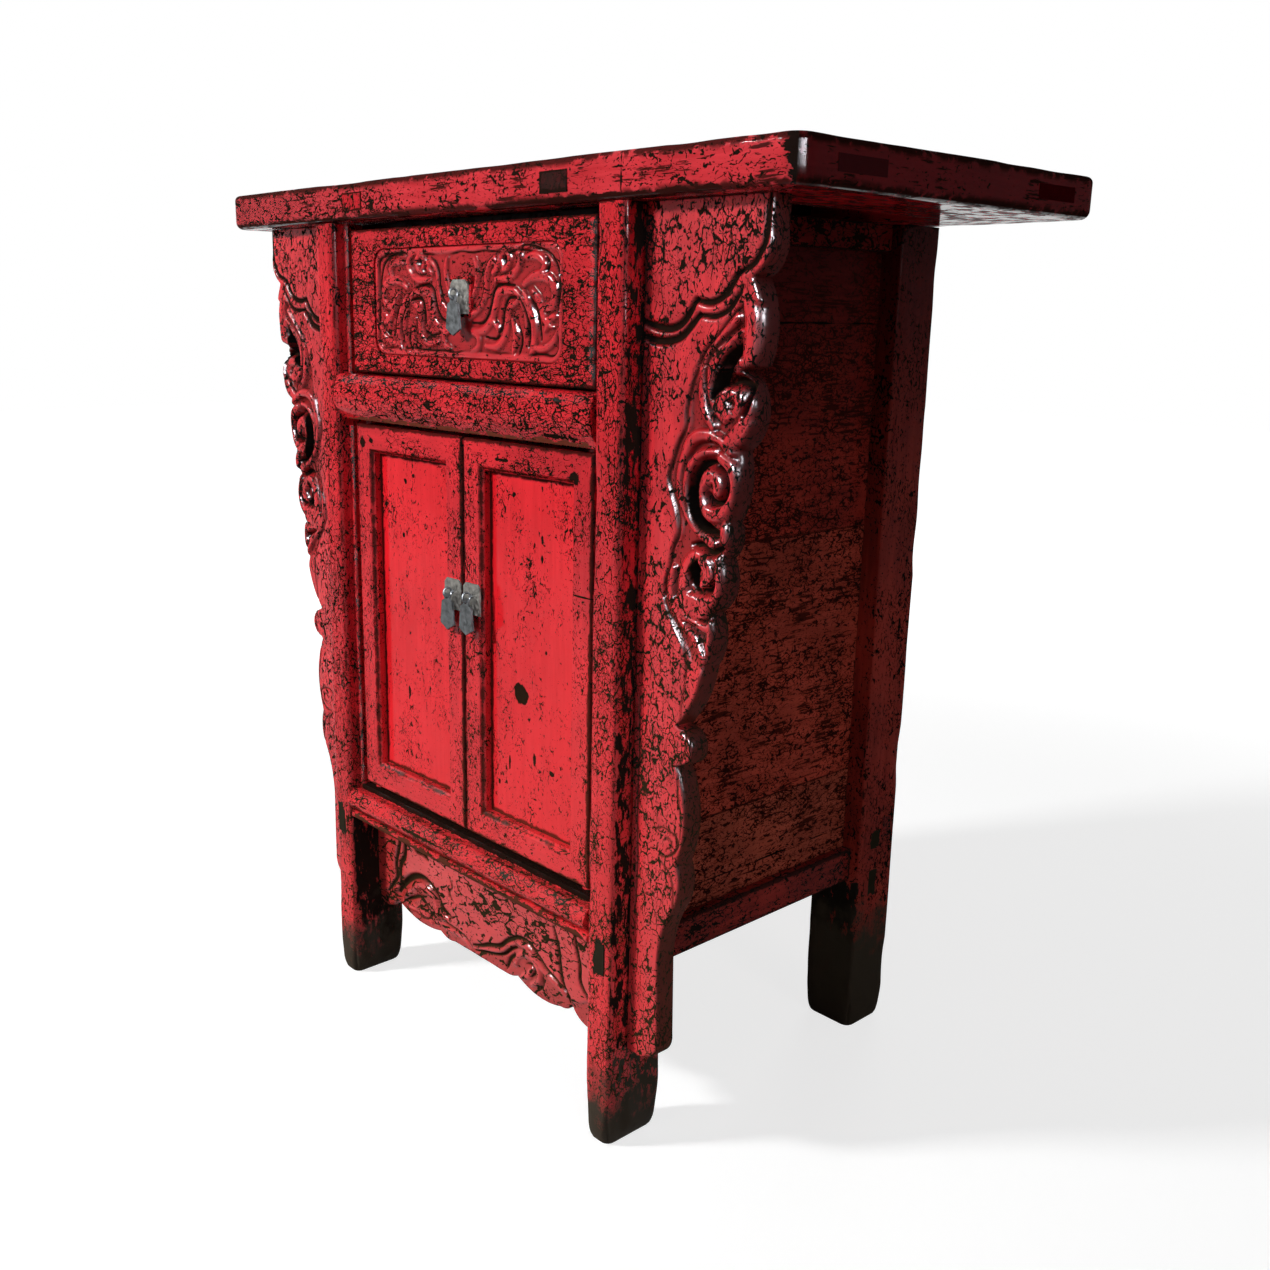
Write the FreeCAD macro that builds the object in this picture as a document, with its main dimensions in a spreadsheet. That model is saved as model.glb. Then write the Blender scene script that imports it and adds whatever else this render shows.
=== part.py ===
import FreeCAD, Part
import math
import os
import Sketcher

# A small lacquered side cabinet with one drawer over a pair of doors. Its top reaches far past
# the posts, and carved brackets fill the corners under it. Millimetres; +Z up, the front faces
# -Y, and the origin is on the floor below the middle of the top.

# Driving sizes
SIZES = {
    # The whole cabinet
    "cabinet_height": 860,
    "top_length": 800,
    "top_depth": 402,
    "top_thickness": 36,
    "top_front_overhang": 4,
    "top_back_overhang": 2,
    # Top frame, panel and battens
    "top_frame_width": 100,
    "top_chamfer": 9,
    "top_edge_round": 3,
    "top_corner_round": 10,
    "top_panel_thickness": 10,
    "top_tongue_width": 8,
    "top_tongue_thickness": 4,
    "top_tenon_width": 56,
    "top_tenon_thickness": 12,
    "top_tenon_setback": 42,
    "batten_width": 34,
    "batten_thickness": 17,
    "batten_spacing": 300,
    # Posts and legs
    "front_post_spread": 460,
    "front_post_width": 34,
    "front_post_depth": 68,
    "back_leg_spread": 492,
    "back_leg_width": 62,
    "back_leg_depth": 60,
    "post_edge_round": 3,
    "foot_round": 14,
    "post_tenon_width": 12,
    "post_tenon_depth": 30,
    "post_tenon_length": 20,
    "jamb_bead_width": 7.5,
    "jamb_bead_depth": 12,
    "jamb_bead_setback": 12.5,
    # Front rails
    "drawer_opening_height": 146,
    "mid_rail_height": 45,
    "bottom_rail_bottom": 195,
    "bottom_rail_height": 32,
    "rail_bulge": 3,
    "rail_chamfer_depth": 8,
    "rail_chamfer_height": 11,
    "rail_top_round": 6,
    "rail_bead": 6,
    "sill_setback": 13,
    "sill_rise": 6,
    "rail_tenon_length": 20,
    "rail_tenon_thickness": 12,
    "rail_tenon_shoulder": 9,
    "front_top_rail_height": 28,
    "front_top_rail_thickness": 24,
    # Side frames
    "side_rail_thickness": 35,
    "side_rail_proud": 4,
    "side_bottom_rail_bottom": 170,
    "side_bottom_rail_height": 35,
    "side_top_rail_height": 24,
    "side_rail_edge_round": 3,
    "side_tenon_inset": 14.5,
    "side_tenon_width": 11,
    "side_tenon_height": 30,
    "side_board_thickness": 12,
    "side_board_recess": 10,
    "side_lower_board_height": 87,
    "side_upper_board_height": 256,
    "board_gap": 0.6,
    # Back
    "back_rail_thickness": 26,
    "back_rail_recess": 4,
    "back_top_rail_height": 24,
    "back_bottom_rail_height": 36,
    "back_tenon_width": 15,
    "back_tenon_height": 22,
    "back_board_thickness": 10,
    "back_board_recess": 9,
    "back_upper_board_height": 300,
    # Floor and drawer runners
    "floor_thickness": 12,
    "runner_ledge_width": 11,
    "runner_ledge_thickness": 18.5,
    "runner_guide_height": 16,
    # Apron
    "apron_setback": 35,
    "apron_thickness": 18,
    "apron_height": 115,
    # Corner brackets beside the posts
    "bracket_setback": 21,
    "bracket_thickness": 20,
    "bracket_reach": 128,
    "bracket_foot_height": 98,
    # Drawer
    "drawer_front_setback": 14,
    "drawer_front_thickness": 22,
    "drawer_front_round": 2.5,
    "drawer_edge_gap": 5.5,
    "drawer_bottom_gap": 2,
    "drawer_top_gap": 7,
    "drawer_side_thickness": 12,
    "drawer_side_height": 104,
    "drawer_side_gap": 1,
    "drawer_rear_gap": 41,
    "drawer_back_thickness": 12,
    "drawer_back_drop": 10,
    "drawer_bottom_thickness": 8,
    "drawer_bottom_rise": 6,
    "cartouche_length": 284,
    "cartouche_height": 100,
    "cartouche_depth": 4.5,
    "cartouche_round": 16,
    # Doors
    "door_thickness": 22,
    "door_edge_gap": 5.5,
    "door_top_gap": 5,
    "door_bottom_gap": 5,
    "door_meeting_gap": 2,
    "door_frame_width": 28,
    "door_frame_chamfer": 4,
    "door_front_round": 3,
    "door_panel_thickness": 8,
    "door_panel_recess": 10.5,
    "door_panel_tongue": 6,
    "door_stop_lap": 3,
    "door_pin_radius": 5,
    "door_pin_length": 13.5,
    "door_pin_end_gap": 0.8,
    # Pulls
    "door_pull_drop": 151,
    "drawer_pull_rise": 5,
    "pull_seat_margin": 3,
    "pull_plate_width": 26,
    "pull_plate_height": 30,
    "pull_plate_thickness": 1.6,
    "pull_plate_notch": 4,
    "staple_ring_radius": 4.5,
    "staple_wire_radius": 1.1,
    "staple_rise": 2.5,
    "staple_shank_radius": 1.8,
    "staple_shank_depth": 12,
    "pendant_eye_radius": 1.7,
    "pendant_hang": 0.15,
    "pendant_thickness": 2.2,
    "pendant_neck_width": 8,
    "pendant_neck_rise": 3.6,
    "pendant_shoulder_width": 16.4,
    "pendant_shoulder_drop": 4.5,
    "pendant_foot_width": 21.2,
    "pendant_foot_drop": 26,
    "pendant_tip_drop": 32,
    # Fits
    "running_gap": 0.5,
    "pin_clearance": 0.05,
    "overrun": 1,
}

# Places worked out from the sizes
PLACES = {
    "half_length": "sizes.top_length / 2",
    "slab_front": "-sizes.top_depth / 2",
    "slab_back": "sizes.top_depth / 2",
    "under_top": "sizes.cabinet_height - sizes.top_thickness",
    "front": "slab_front + sizes.top_front_overhang",
    "back": "slab_back - sizes.top_back_overhang",
    "frame_inner_length": "half_length - sizes.top_frame_width",
    "frame_inner_front": "slab_front + sizes.top_frame_width",
    "frame_inner_back": "slab_back - sizes.top_frame_width",
    "panel_bottom": "sizes.cabinet_height - sizes.top_panel_thickness",
    "top_tenon_bottom": "under_top + (sizes.top_thickness - sizes.top_tenon_thickness) / 2",
    "batten_bottom": "panel_bottom - sizes.batten_thickness",
    "post_outer": "sizes.front_post_spread / 2",
    "post_inner": "post_outer - sizes.front_post_width",
    "post_back": "front + sizes.front_post_depth",
    "leg_outer": "sizes.back_leg_spread / 2",
    "leg_inner": "leg_outer - sizes.back_leg_width",
    "leg_front": "back - sizes.back_leg_depth",
    "bead_inner": "post_inner - sizes.jamb_bead_width",
    "mid_rail_top": "under_top - sizes.drawer_opening_height",
    "mid_rail_low": "mid_rail_top - sizes.mid_rail_height",
    "bottom_rail_top": "sizes.bottom_rail_bottom + sizes.bottom_rail_height",
    "sill": "bottom_rail_top + sizes.sill_rise",
    "door_front": "front + sizes.drawer_front_setback",
    "door_back": "door_front + sizes.door_thickness",
    "door_low": "sill + sizes.door_bottom_gap",
    "door_high": "mid_rail_low - sizes.door_top_gap",
    "door_outer": "bead_inner - sizes.door_edge_gap",
    "door_inner": "sizes.door_meeting_gap / 2",
    "pin_line": "door_outer - sizes.door_thickness / 2",
    "pin_depth": "door_front + sizes.door_thickness / 2",
    "stop_face": "door_back + sizes.running_gap",
    "upper_stop": "door_high - sizes.door_stop_lap",
    "lower_stop": "door_low + sizes.door_stop_lap",
    "panel_face": "door_front + sizes.door_panel_recess",
    "side_outer": "post_outer + sizes.side_rail_proud",
    "side_inner": "side_outer - sizes.side_rail_thickness",
    "side_rail_top": "sizes.side_bottom_rail_bottom + sizes.side_bottom_rail_height",
    "side_top_rail_low": "under_top - sizes.side_top_rail_height",
    "side_lower_joint": "side_rail_top + sizes.side_lower_board_height",
    "side_upper_joint": "side_top_rail_low - sizes.side_upper_board_height",
    "side_tenon_middle": "post_outer - sizes.side_tenon_inset",
    "side_tenon_low": "side_rail_top - (sizes.side_bottom_rail_height + sizes.side_tenon_height) / 2",
    "board_outer": "side_outer - sizes.side_board_recess",
    "board_inner": "board_outer - sizes.side_board_thickness",
    "back_rail_back": "back - sizes.back_rail_recess",
    "back_rail_front": "back_rail_back - sizes.back_rail_thickness",
    "back_board_back": "back - sizes.back_board_recess",
    "back_board_front": "back_board_back - sizes.back_board_thickness",
    "back_sill": "side_rail_top + sizes.back_bottom_rail_height",
    "back_head": "under_top - sizes.back_top_rail_height",
    "back_joint": "back_head - sizes.back_upper_board_height",
    "floor_top": "side_rail_top + sizes.floor_thickness",
    "apron_front": "front + sizes.apron_setback",
    "apron_low": "sizes.bottom_rail_bottom - sizes.apron_height",
    "bracket_front": "front + sizes.bracket_setback",
    "drawer_back_face": "door_front + sizes.drawer_front_thickness",
    "drawer_edge": "bead_inner - sizes.drawer_edge_gap",
    "drawer_low": "mid_rail_top + sizes.drawer_bottom_gap",
    "drawer_high": "under_top - sizes.drawer_top_gap",
    "drawer_middle": "(drawer_low + drawer_high) / 2",
    "drawer_side_outer": "drawer_edge - sizes.drawer_side_gap",
    "drawer_side_inner": "drawer_side_outer - sizes.drawer_side_thickness",
    "drawer_side_low": "drawer_low + 2 * sizes.drawer_bottom_gap",
    "drawer_side_high": "drawer_side_low + sizes.drawer_side_height",
    "drawer_box_back": "back_board_front - sizes.drawer_rear_gap",
    "drawer_floor_low": "drawer_side_low + sizes.drawer_bottom_rise",
    "runner_top": "drawer_side_low - sizes.running_gap",
    "runner_inner": "drawer_side_outer - sizes.runner_ledge_width",
    "runner_guide": "drawer_side_outer + 2 * sizes.running_gap",
    "drawer_pull_level": "drawer_middle + sizes.drawer_pull_rise",
    "door_pull_line": "door_inner + sizes.door_frame_width / 2",
    "door_pull_level": "door_high - sizes.door_pull_drop",
    "plate_face": "door_front - sizes.pull_plate_thickness",
    "ring_line": "plate_face - sizes.staple_ring_radius - sizes.staple_wire_radius - sizes.running_gap",
}

# Bracket outline, as shares of its reach from the post and of its height, from the top down.
# Two points are a straight stretch, and three an arc through the middle one.
BRACKET_EDGE_SHARES = [
    [(1.0, 1.0), (0.998, 0.963)],
    [(0.998, 0.963), (0.972, 0.936), (0.880, 0.922)],
    [(0.880, 0.922), (0.956, 0.884), (0.912, 0.835)],
    [(0.912, 0.835), (0.807, 0.831)],
    [(0.807, 0.831), (0.925, 0.790), (0.796, 0.749)],
    [(0.796, 0.749), (0.818, 0.710), (0.748, 0.674)],
    [(0.748, 0.674), (0.768, 0.652), (0.706, 0.634)],
    [(0.706, 0.634), (0.737, 0.601), (0.631, 0.573)],
    [(0.631, 0.573), (0.668, 0.545), (0.605, 0.512)],
    [(0.605, 0.512), (0.505, 0.462), (0.373, 0.433)],
    [(0.373, 0.433), (0.535, 0.413), (0.396, 0.390)],
    [(0.396, 0.390), (0.492, 0.335), (0.430, 0.272)],
    [(0.430, 0.272), (0.462, 0.247), (0.420, 0.215)],
    [(0.420, 0.215), (0.325, 0.178), (0.288, 0.138)],
    [(0.288, 0.138), (0.302, 0.034)],
    [(0.302, 0.034), (0.265, 0.010), (0.170, 0.0)],
    [(0.170, 0.0), (0.0, 0.0)],
    [(0.0, 0.0), (0.0, 1.0)],
    [(0.0, 1.0), (1.0, 1.0)],
]

# Openings sawn through the bracket's carving, each of two arcs, in the same shares
BRACKET_PIERCING_SHARES = [
    [[(0.800, 0.858), (0.655, 0.838), (0.590, 0.800)], [(0.590, 0.800), (0.715, 0.818), (0.800, 0.858)]],
    [[(0.578, 0.733), (0.430, 0.707), (0.672, 0.660)], [(0.672, 0.660), (0.520, 0.697), (0.578, 0.733)]],
    [[(0.528, 0.630), (0.455, 0.613), (0.545, 0.594)], [(0.545, 0.594), (0.515, 0.612), (0.528, 0.630)]],
]

# Apron outline, as shares of the width between the posts and of its height
APRON_EDGE_SHARES = [
    [(0.0, 1.0), (0.0, 0.052)],
    [(0.0, 0.052), (0.036, 0.017), (0.071, 0.087)],
    [(0.071, 0.087), (0.084, 0.139)],
    [(0.084, 0.139), (0.194, 0.035), (0.296, 0.070)],
    [(0.296, 0.070), (0.321, 0.035), (0.360, 0.043)],
    [(0.360, 0.043), (0.597, 0.043)],
    [(0.597, 0.043), (0.622, 0.061), (0.635, 0.083)],
    [(0.635, 0.083), (0.717, 0.0), (0.806, 0.035)],
    [(0.806, 0.035), (0.838, 0.070), (0.849, 0.122)],
    [(0.849, 0.122), (0.880, 0.017), (0.939, 0.009)],
    [(0.939, 0.009), (0.980, 0.030), (1.0, 0.087)],
    [(1.0, 0.087), (1.0, 1.0)],
    [(1.0, 1.0), (0.0, 1.0)],
]

# The height that each moulded front rail fills
RAIL_HEIGHTS = {"mid_rail": ("places.mid_rail_low", "places.mid_rail_top"),
                "bottom_rail": ("sizes.bottom_rail_bottom", "places.sill")}

# The plane each outline is drawn in, by the name of the axis that its thickness runs along
PLANE_ROLES = {"x": "YZ_Plane", "y": "XZ_Plane", "z": "XY_Plane"}

doc = FreeCAD.newDocument("side_cabinet")


def fill_sheet(name, cells):
    """Makes a spreadsheet with one aliased cell for each entry."""
    sheet = doc.addObject("Spreadsheet::Sheet", name)
    for row, (alias, content) in enumerate(cells.items(), start=1):
        sheet.set("A%d" % row, alias)
        sheet.set("B%d" % row, content)
        sheet.setAlias("B%d" % row, alias)
    doc.recompute()
    return sheet


sizes = fill_sheet("sizes", {alias: str(number) for alias, number in SIZES.items()})
places = fill_sheet("places", {alias: "=" + formula for alias, formula in PLACES.items()})
subparts = []


def value(expression):
    """The number that an expression of sizes and places gives."""
    return float(places.evalExpression(expression))


def keep(label, solid):
    """Names a finished piece."""
    solid.Label = label
    subparts.append(solid)
    return solid


def box(name, x, y, z):
    """A block between a low and a high expression along each axis."""
    block = doc.addObject("Part::Box", name)
    for side, axis, (low, high) in zip(("Length", "Width", "Height"), "xyz", (x, y, z)):
        block.setExpression(side, "(%s) - (%s)" % (high, low))
        block.setExpression("Placement.Base." + axis, low)
    return block


def rod(name, axis, radius, centre, span):
    """A round bar along an axis; centre is its place across the other two axes."""
    bar = doc.addObject("Part::Cylinder", name)
    if axis == "y":
        bar.Placement.Rotation = FreeCAD.Rotation(FreeCAD.Vector(1, 0, 0), -90)
    others = [other for other in "xyz" if other != axis]
    bar.setExpression("Radius", radius)
    bar.setExpression("Height", "(%s) - (%s)" % (span[1], span[0]))
    bar.setExpression("Placement.Base." + axis, span[0])
    for other, place in zip(others, centre):
        bar.setExpression("Placement.Base." + other, place)
    return bar


def fuse(name, *solids):
    """Several solids made one."""
    whole = doc.addObject("Part::MultiFuse", name)
    whole.Shapes = list(solids)
    whole.Refine = True
    return whole


def cut(name, solid, *tools):
    """A solid with others taken out of it."""
    for number, tool in enumerate(tools, start=1):
        rest = doc.addObject("Part::Cut", "%s_%d" % (name, number))
        rest.Base = solid
        rest.Tool = tool
        solid = rest
    return solid


def common(name, solid, form):
    """The stretch of a solid that lies inside a form."""
    inside = doc.addObject("Part::Common", name)
    inside.Base = solid
    inside.Tool = form
    return inside


def mirrored(name, solid):
    """The same piece on the cabinet's other side."""
    twin = doc.addObject("Part::Mirroring", name)
    twin.Source = solid
    twin.Normal = FreeCAD.Vector(1, 0, 0)
    return twin


def start_body(name, axis, low, high):
    """A body with an empty sketch whose pad will run from low to high along the axis."""
    body = doc.addObject("PartDesign::Body", name)
    sketch = body.newObject("Sketcher::SketchObject", name + "_outline")
    plane = next(item for item in body.Origin.OriginFeatures if item.Role == PLANE_ROLES[axis])
    sketch.AttachmentSupport = [(plane, "")]
    sketch.MapMode = "FlatFace"
    away = axis == "y"
    sketch.setExpression("AttachmentOffset.Base.z", "-(%s)" % low if away else low)
    pad = body.newObject("PartDesign::Pad", name + "_pad")
    pad.Profile = sketch
    pad.Reversed = away
    pad.setExpression("Length", "(%s) - (%s)" % (high, low))
    return body, sketch


def polygon_body(name, axis, corners, low, high):
    """A body padded from straight edges between corners, each a pair of expressions."""
    body, sketch = start_body(name, axis, low, high)
    points = [FreeCAD.Vector(value(across), value(up), 0) for across, up in corners]
    count = len(points)
    for number in range(count):
        sketch.addGeometry(Part.LineSegment(points[number], points[(number + 1) % count]))
    for number in range(count):
        sketch.addConstraint(Sketcher.Constraint("Coincident", number, 2, (number + 1) % count, 1))
    for number, corner in enumerate(corners):
        for kind, place in zip(("DistanceX", "DistanceY"), corner):
            index = sketch.addConstraint(Sketcher.Constraint(kind, -1, 1, number, 1, value(place)))
            sketch.setExpression("Constraints[%d]" % index, place)
    return body


def outline_body(name, axis, loops, low, high):
    """A body padded from closed loops of lines and arcs, given as lists of points in order."""
    body, sketch = start_body(name, axis, low, high)
    for loop in loops:
        first = sketch.GeometryCount
        for points in loop:
            ends = [FreeCAD.Vector(across, up, 0) for across, up in points]
            edge = Part.LineSegment(*ends) if len(ends) == 2 else Part.Arc(*ends)
            sketch.addGeometry(edge)
        join_ends(sketch, first, loop)
    return body


def join_ends(sketch, first, loop):
    """Ties each edge of a loop to the next at the point that they share."""
    count = len(loop)
    for number in range(count):
        here = first + number
        after = first + (number + 1) % count
        shared = FreeCAD.Vector(*loop[number][-1], 0)
        ends = [nearer_end(sketch, index, shared) for index in (here, after)]
        sketch.addConstraint(Sketcher.Constraint("Coincident", here, ends[0], after, ends[1]))


def nearer_end(sketch, index, point):
    """1 or 2, for an edge's start or end, whichever lies nearer the point."""
    return min((1, 2), key=lambda end: sketch.getPoint(index, end).distanceToPoint(point))


def dress(body, kind, expression, chosen):
    """Rounds or chamfers the body's edges for which chosen(middle, edge) is true."""
    doc.recompute()
    last = body.Tip
    names = ["Edge%d" % (number + 1) for number, edge in enumerate(last.Shape.Edges)
             if chosen(edge.CenterOfMass, edge)]
    feature = body.newObject("PartDesign::" + kind, "%s_%s_%d" % (body.Name, kind.lower(), len(names)))
    feature.Base = (last, names)
    feature.setExpression("Radius" if kind == "Fillet" else "Size", expression)
    doc.recompute()
    return body


def near(number, expression):
    """Whether a coordinate is at the place that an expression gives."""
    return math.isclose(number, value(expression), abs_tol=value("sizes.pin_clearance"))


def runs_along(edge, axis):
    """Whether a straight edge runs along one axis."""
    ends = [vertex.Point for vertex in edge.Vertexes]
    if len(ends) != 2:
        return False
    return abs((ends[1] - ends[0]).normalize().dot(FreeCAD.Vector(*axis))) > math.cos(math.radians(1))


def scaled(edges, across, up):
    """Edges given in shares, placed between the low and high numbers across and up."""
    def place(share, span):
        return span[0] + share * (span[1] - span[0])
    return [[(place(u, across), place(v, up)) for u, v in points] for points in edges]


def build_top():
    """A mitred frame with through tenons, a flush floating panel and two battens."""
    plan = [("-places.half_length", "places.slab_front"), ("places.half_length", "places.slab_front"),
            ("places.half_length", "places.slab_back"), ("-places.half_length", "places.slab_back")]
    form = polygon_body("top_form", "z", plan, "places.under_top", "sizes.cabinet_height")
    dress(form, "Fillet", "sizes.top_corner_round", lambda middle, edge: runs_along(edge, (0, 0, 1)))
    dress(form, "Chamfer", "sizes.top_chamfer", lambda middle, edge: near(middle.z, "places.under_top"))
    dress(form, "Fillet", "sizes.top_edge_round", lambda middle, edge: near(middle.z, "sizes.cabinet_height"))
    height = ("places.under_top", "sizes.cabinet_height")
    long_outline = [("-places.half_length", "places.slab_front"), ("places.half_length", "places.slab_front"),
                    ("places.frame_inner_length", "places.frame_inner_front"),
                    ("-places.frame_inner_length", "places.frame_inner_front")]
    end_outline = [("places.half_length", "places.slab_front"), ("places.half_length", "places.slab_back"),
                   ("places.frame_inner_length", "places.frame_inner_back"),
                   ("places.frame_inner_length", "places.frame_inner_front")]
    back_outline = [(x, y.replace("slab_front", "slab_back").replace("inner_front", "inner_back"))
                    for x, y in long_outline]
    front_bar = polygon_body("top_front_bar", "z", long_outline, *height)
    back_bar = polygon_body("top_back_bar", "z", back_outline, *height)
    end_bar = polygon_body("top_end_bar", "z", end_outline, *height)
    tenon_height = ("places.top_tenon_bottom", "places.top_tenon_bottom + sizes.top_tenon_thickness")
    setback = "sizes.top_tenon_setback"
    reach = "sizes.top_tenon_setback + sizes.top_tenon_width"
    length = ("-places.half_length", "places.half_length")
    front_tenon = box("top_front_tenon", length,
                      ("places.slab_front + " + setback, "places.slab_front + " + reach), tenon_height)
    back_tenon = box("top_back_tenon", length,
                     ("places.slab_back - (%s)" % reach, "places.slab_back - " + setback), tenon_height)
    panel = fuse("top_panel_blank",
                 box("top_panel_face", ("-places.frame_inner_length", "places.frame_inner_length"),
                     ("places.frame_inner_front", "places.frame_inner_back"),
                     ("places.panel_bottom", "sizes.cabinet_height")),
                 box("top_panel_tongue",
                     ("-places.frame_inner_length - sizes.top_tongue_width",
                      "places.frame_inner_length + sizes.top_tongue_width"),
                     ("places.frame_inner_front - sizes.top_tongue_width",
                      "places.frame_inner_back + sizes.top_tongue_width"),
                     ("places.panel_bottom", "places.panel_bottom + sizes.top_tongue_thickness")))
    batten = box("top_batten_bar",
                 ("(sizes.batten_spacing - sizes.batten_width) / 2",
                  "(sizes.batten_spacing + sizes.batten_width) / 2"),
                 ("places.slab_front", "places.slab_back"), ("places.batten_bottom", "places.panel_bottom"))
    right_batten = common("top_batten_right_form", form, batten)
    left_batten = mirrored("top_batten_left_form", right_batten)
    mortises = [box("top_mortise_" + name, *[(low, high) for low, high in post_tenon_spans(name)])
                for name in ("front", "back")]
    mortises += [mirrored("top_mortise_%s_left" % tool.Name, tool) for tool in mortises]
    front = common("top_front_form", form, fuse("top_front_blank", front_bar, front_tenon))
    front = cut("top_front_cut", front, panel, right_batten, left_batten, mortises[0], mortises[2])
    back = common("top_back_form", form, fuse("top_back_blank", back_bar, back_tenon))
    back = cut("top_back_cut", back, panel, right_batten, left_batten, mortises[1], mortises[3])
    end = cut("top_end_cut", common("top_end_form", form, end_bar), panel, front_tenon, back_tenon)
    keep("top_front_rail", front)
    keep("top_back_rail", back)
    keep("top_end_rail_right", end)
    keep("top_end_rail_left", mirrored("top_end_left_form", end))
    keep("top_panel", panel)
    keep("top_batten_right", right_batten)
    keep("top_batten_left", left_batten)


def post_tenon_spans(name):
    """Where the tenon on top of a front post or a back leg goes up into the top's frame."""
    middles = {"front": ("(places.post_outer + places.post_inner) / 2", "(places.front + places.post_back) / 2"),
               "back": ("(places.leg_outer + places.leg_inner) / 2", "(places.leg_front + places.back) / 2")}
    across, along = middles[name]
    return ((across + " - sizes.post_tenon_width / 2", across + " + sizes.post_tenon_width / 2"),
            (along + " - sizes.post_tenon_depth / 2", along + " + sizes.post_tenon_depth / 2"),
            ("places.under_top", "places.under_top + sizes.post_tenon_length"))


def upright(name, x, y):
    """A post with eased corners and a foot worn round at its inner edge."""
    corners = [(x[0], y[0]), (x[1], y[0]), (x[1], y[1]), (x[0], y[1])]
    post = polygon_body(name, "z", corners, "0", "places.under_top")
    dress(post, "Fillet", "sizes.post_edge_round", lambda middle, edge: runs_along(edge, (0, 0, 1)))
    return post


def build_posts():
    """Front posts with jamb beads beside the openings, and heavier back legs."""
    front = upright("front_post_bar", ("places.post_inner", "places.post_outer"),
                    ("places.front", "places.post_back"))
    dress(front, "Fillet", "sizes.foot_round",
          lambda middle, edge: near(middle.z, "0") and near(middle.y, "places.post_back"))
    bead_y = ("places.front + sizes.jamb_bead_setback",
              "places.front + sizes.jamb_bead_setback + sizes.jamb_bead_depth")
    lap = "places.post_inner + sizes.post_edge_round"
    beads = [box("jamb_bead_" + name, ("places.bead_inner", lap), bead_y, span) for name, span in
             (("door", ("places.sill", "places.mid_rail_low")),
              ("drawer", ("places.mid_rail_top", "places.under_top")))]
    tenon = box("front_post_tenon", *post_tenon_spans("front"))
    front = fuse("front_post_whole", front, tenon, *beads)
    front = cut("front_post_cut", front, front_rail_tenon("mid_rail"), front_rail_tenon("bottom_rail"),
                side_tenon("front_post"))
    back = upright("back_leg_bar", ("places.leg_inner", "places.leg_outer"), ("places.leg_front", "places.back"))
    dress(back, "Fillet", "sizes.post_edge_round",
          lambda middle, edge: near(middle.z, "0") and not runs_along(edge, (0, 0, 1)))
    back = fuse("back_leg_whole", back, box("back_leg_tenon", *post_tenon_spans("back")))
    back = cut("back_leg_cut", back, back_tenon("back_leg"))
    keep("front_post_right", front)
    keep("front_post_left", mirrored("front_post_left_form", front))
    keep("back_leg_right", back)
    keep("back_leg_left", mirrored("back_leg_left_form", back))


def front_rail_tenon(rail, name="mortise"):
    """The tenon at the right end of a front rail, or the mortise for it."""
    low, high = RAIL_HEIGHTS[rail]
    middle = "(places.front + places.post_back) / 2"
    return box("%s_%s" % (rail, name), ("places.post_inner", "places.post_inner + sizes.rail_tenon_length"),
               (middle + " - sizes.rail_tenon_thickness / 2", middle + " + sizes.rail_tenon_thickness / 2"),
               (low + " + sizes.rail_tenon_shoulder", high + " - sizes.rail_tenon_shoulder"))


def side_tenon(name):
    """The side rail's tenon, which runs through the front post and shows on its face."""
    middle = "places.side_tenon_middle"
    return box(name + "_side_tenon", (middle + " - sizes.side_tenon_width / 2",
                                      middle + " + sizes.side_tenon_width / 2"),
               ("places.front", "places.post_back"),
               ("places.side_tenon_low", "places.side_tenon_low + sizes.side_tenon_height"))


def back_tenon(name):
    """The back rail's tenon, which runs out through the back leg's side."""
    middle = "(places.back_rail_front + places.back_rail_back) / 2"
    level = "(places.side_rail_top + places.back_sill) / 2"
    return box(name + "_back_tenon", ("places.leg_inner", "places.leg_outer"),
               (middle + " - sizes.back_tenon_width / 2", middle + " + sizes.back_tenon_width / 2"),
               (level + " - sizes.back_tenon_height / 2", level + " + sizes.back_tenon_height / 2"))


def moulded_rail(name, section):
    """A rail padded between the posts from its section, with a tenon at each end."""
    bar = outline_body(name + "_bar", "x", [section], "-places.post_inner", "places.post_inner")
    tenon = front_rail_tenon(name, "tenon")
    bar = fuse(name + "_whole", bar, tenon, mirrored(name + "_left_tenon", tenon))
    return cut(name + "_cut", bar, *pin_holes(name))


def pin_holes(rail):
    """Sockets in a front rail for the doors' pivot pins."""
    spans = {"mid_rail": ("places.mid_rail_low - sizes.overrun", "places.door_high"),
             "bottom_rail": ("places.door_low", "places.sill + sizes.overrun")}
    reach = "(sizes.door_pin_length + sizes.door_pin_end_gap)"
    low, high = spans[rail]
    span = (low, "%s + %s" % (high, reach)) if rail == "mid_rail" else ("%s - %s" % (low, reach), high)
    hole = rod(rail + "_pin_hole", "z", "sizes.door_pin_radius + sizes.pin_clearance",
               ("places.pin_line", "places.pin_depth"), span)
    return hole, mirrored(rail + "_pin_hole_left", hole)


def rail_face(low, high, foot):
    """The moulded front of a rail: a chamfer rising to a bulge, then an eased top edge."""
    front = value("places.front")
    depth = value("sizes.rail_chamfer_depth")
    chamfer = low + value("sizes.rail_chamfer_height")
    eased = value("sizes.rail_top_round")
    bulge = value("sizes.rail_bulge")
    shoulder = high - eased
    return [[(front + depth, foot), (front, chamfer)],
            [(front, chamfer), (front - bulge, (chamfer + shoulder) / 2), (front, shoulder)],
            [(front, shoulder), (front + eased / 3, high - eased / 3), (front + eased, high)]]


def chain(points):
    """Straight edges from each point to the next."""
    return [list(pair) for pair in zip(points, points[1:])]


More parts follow.
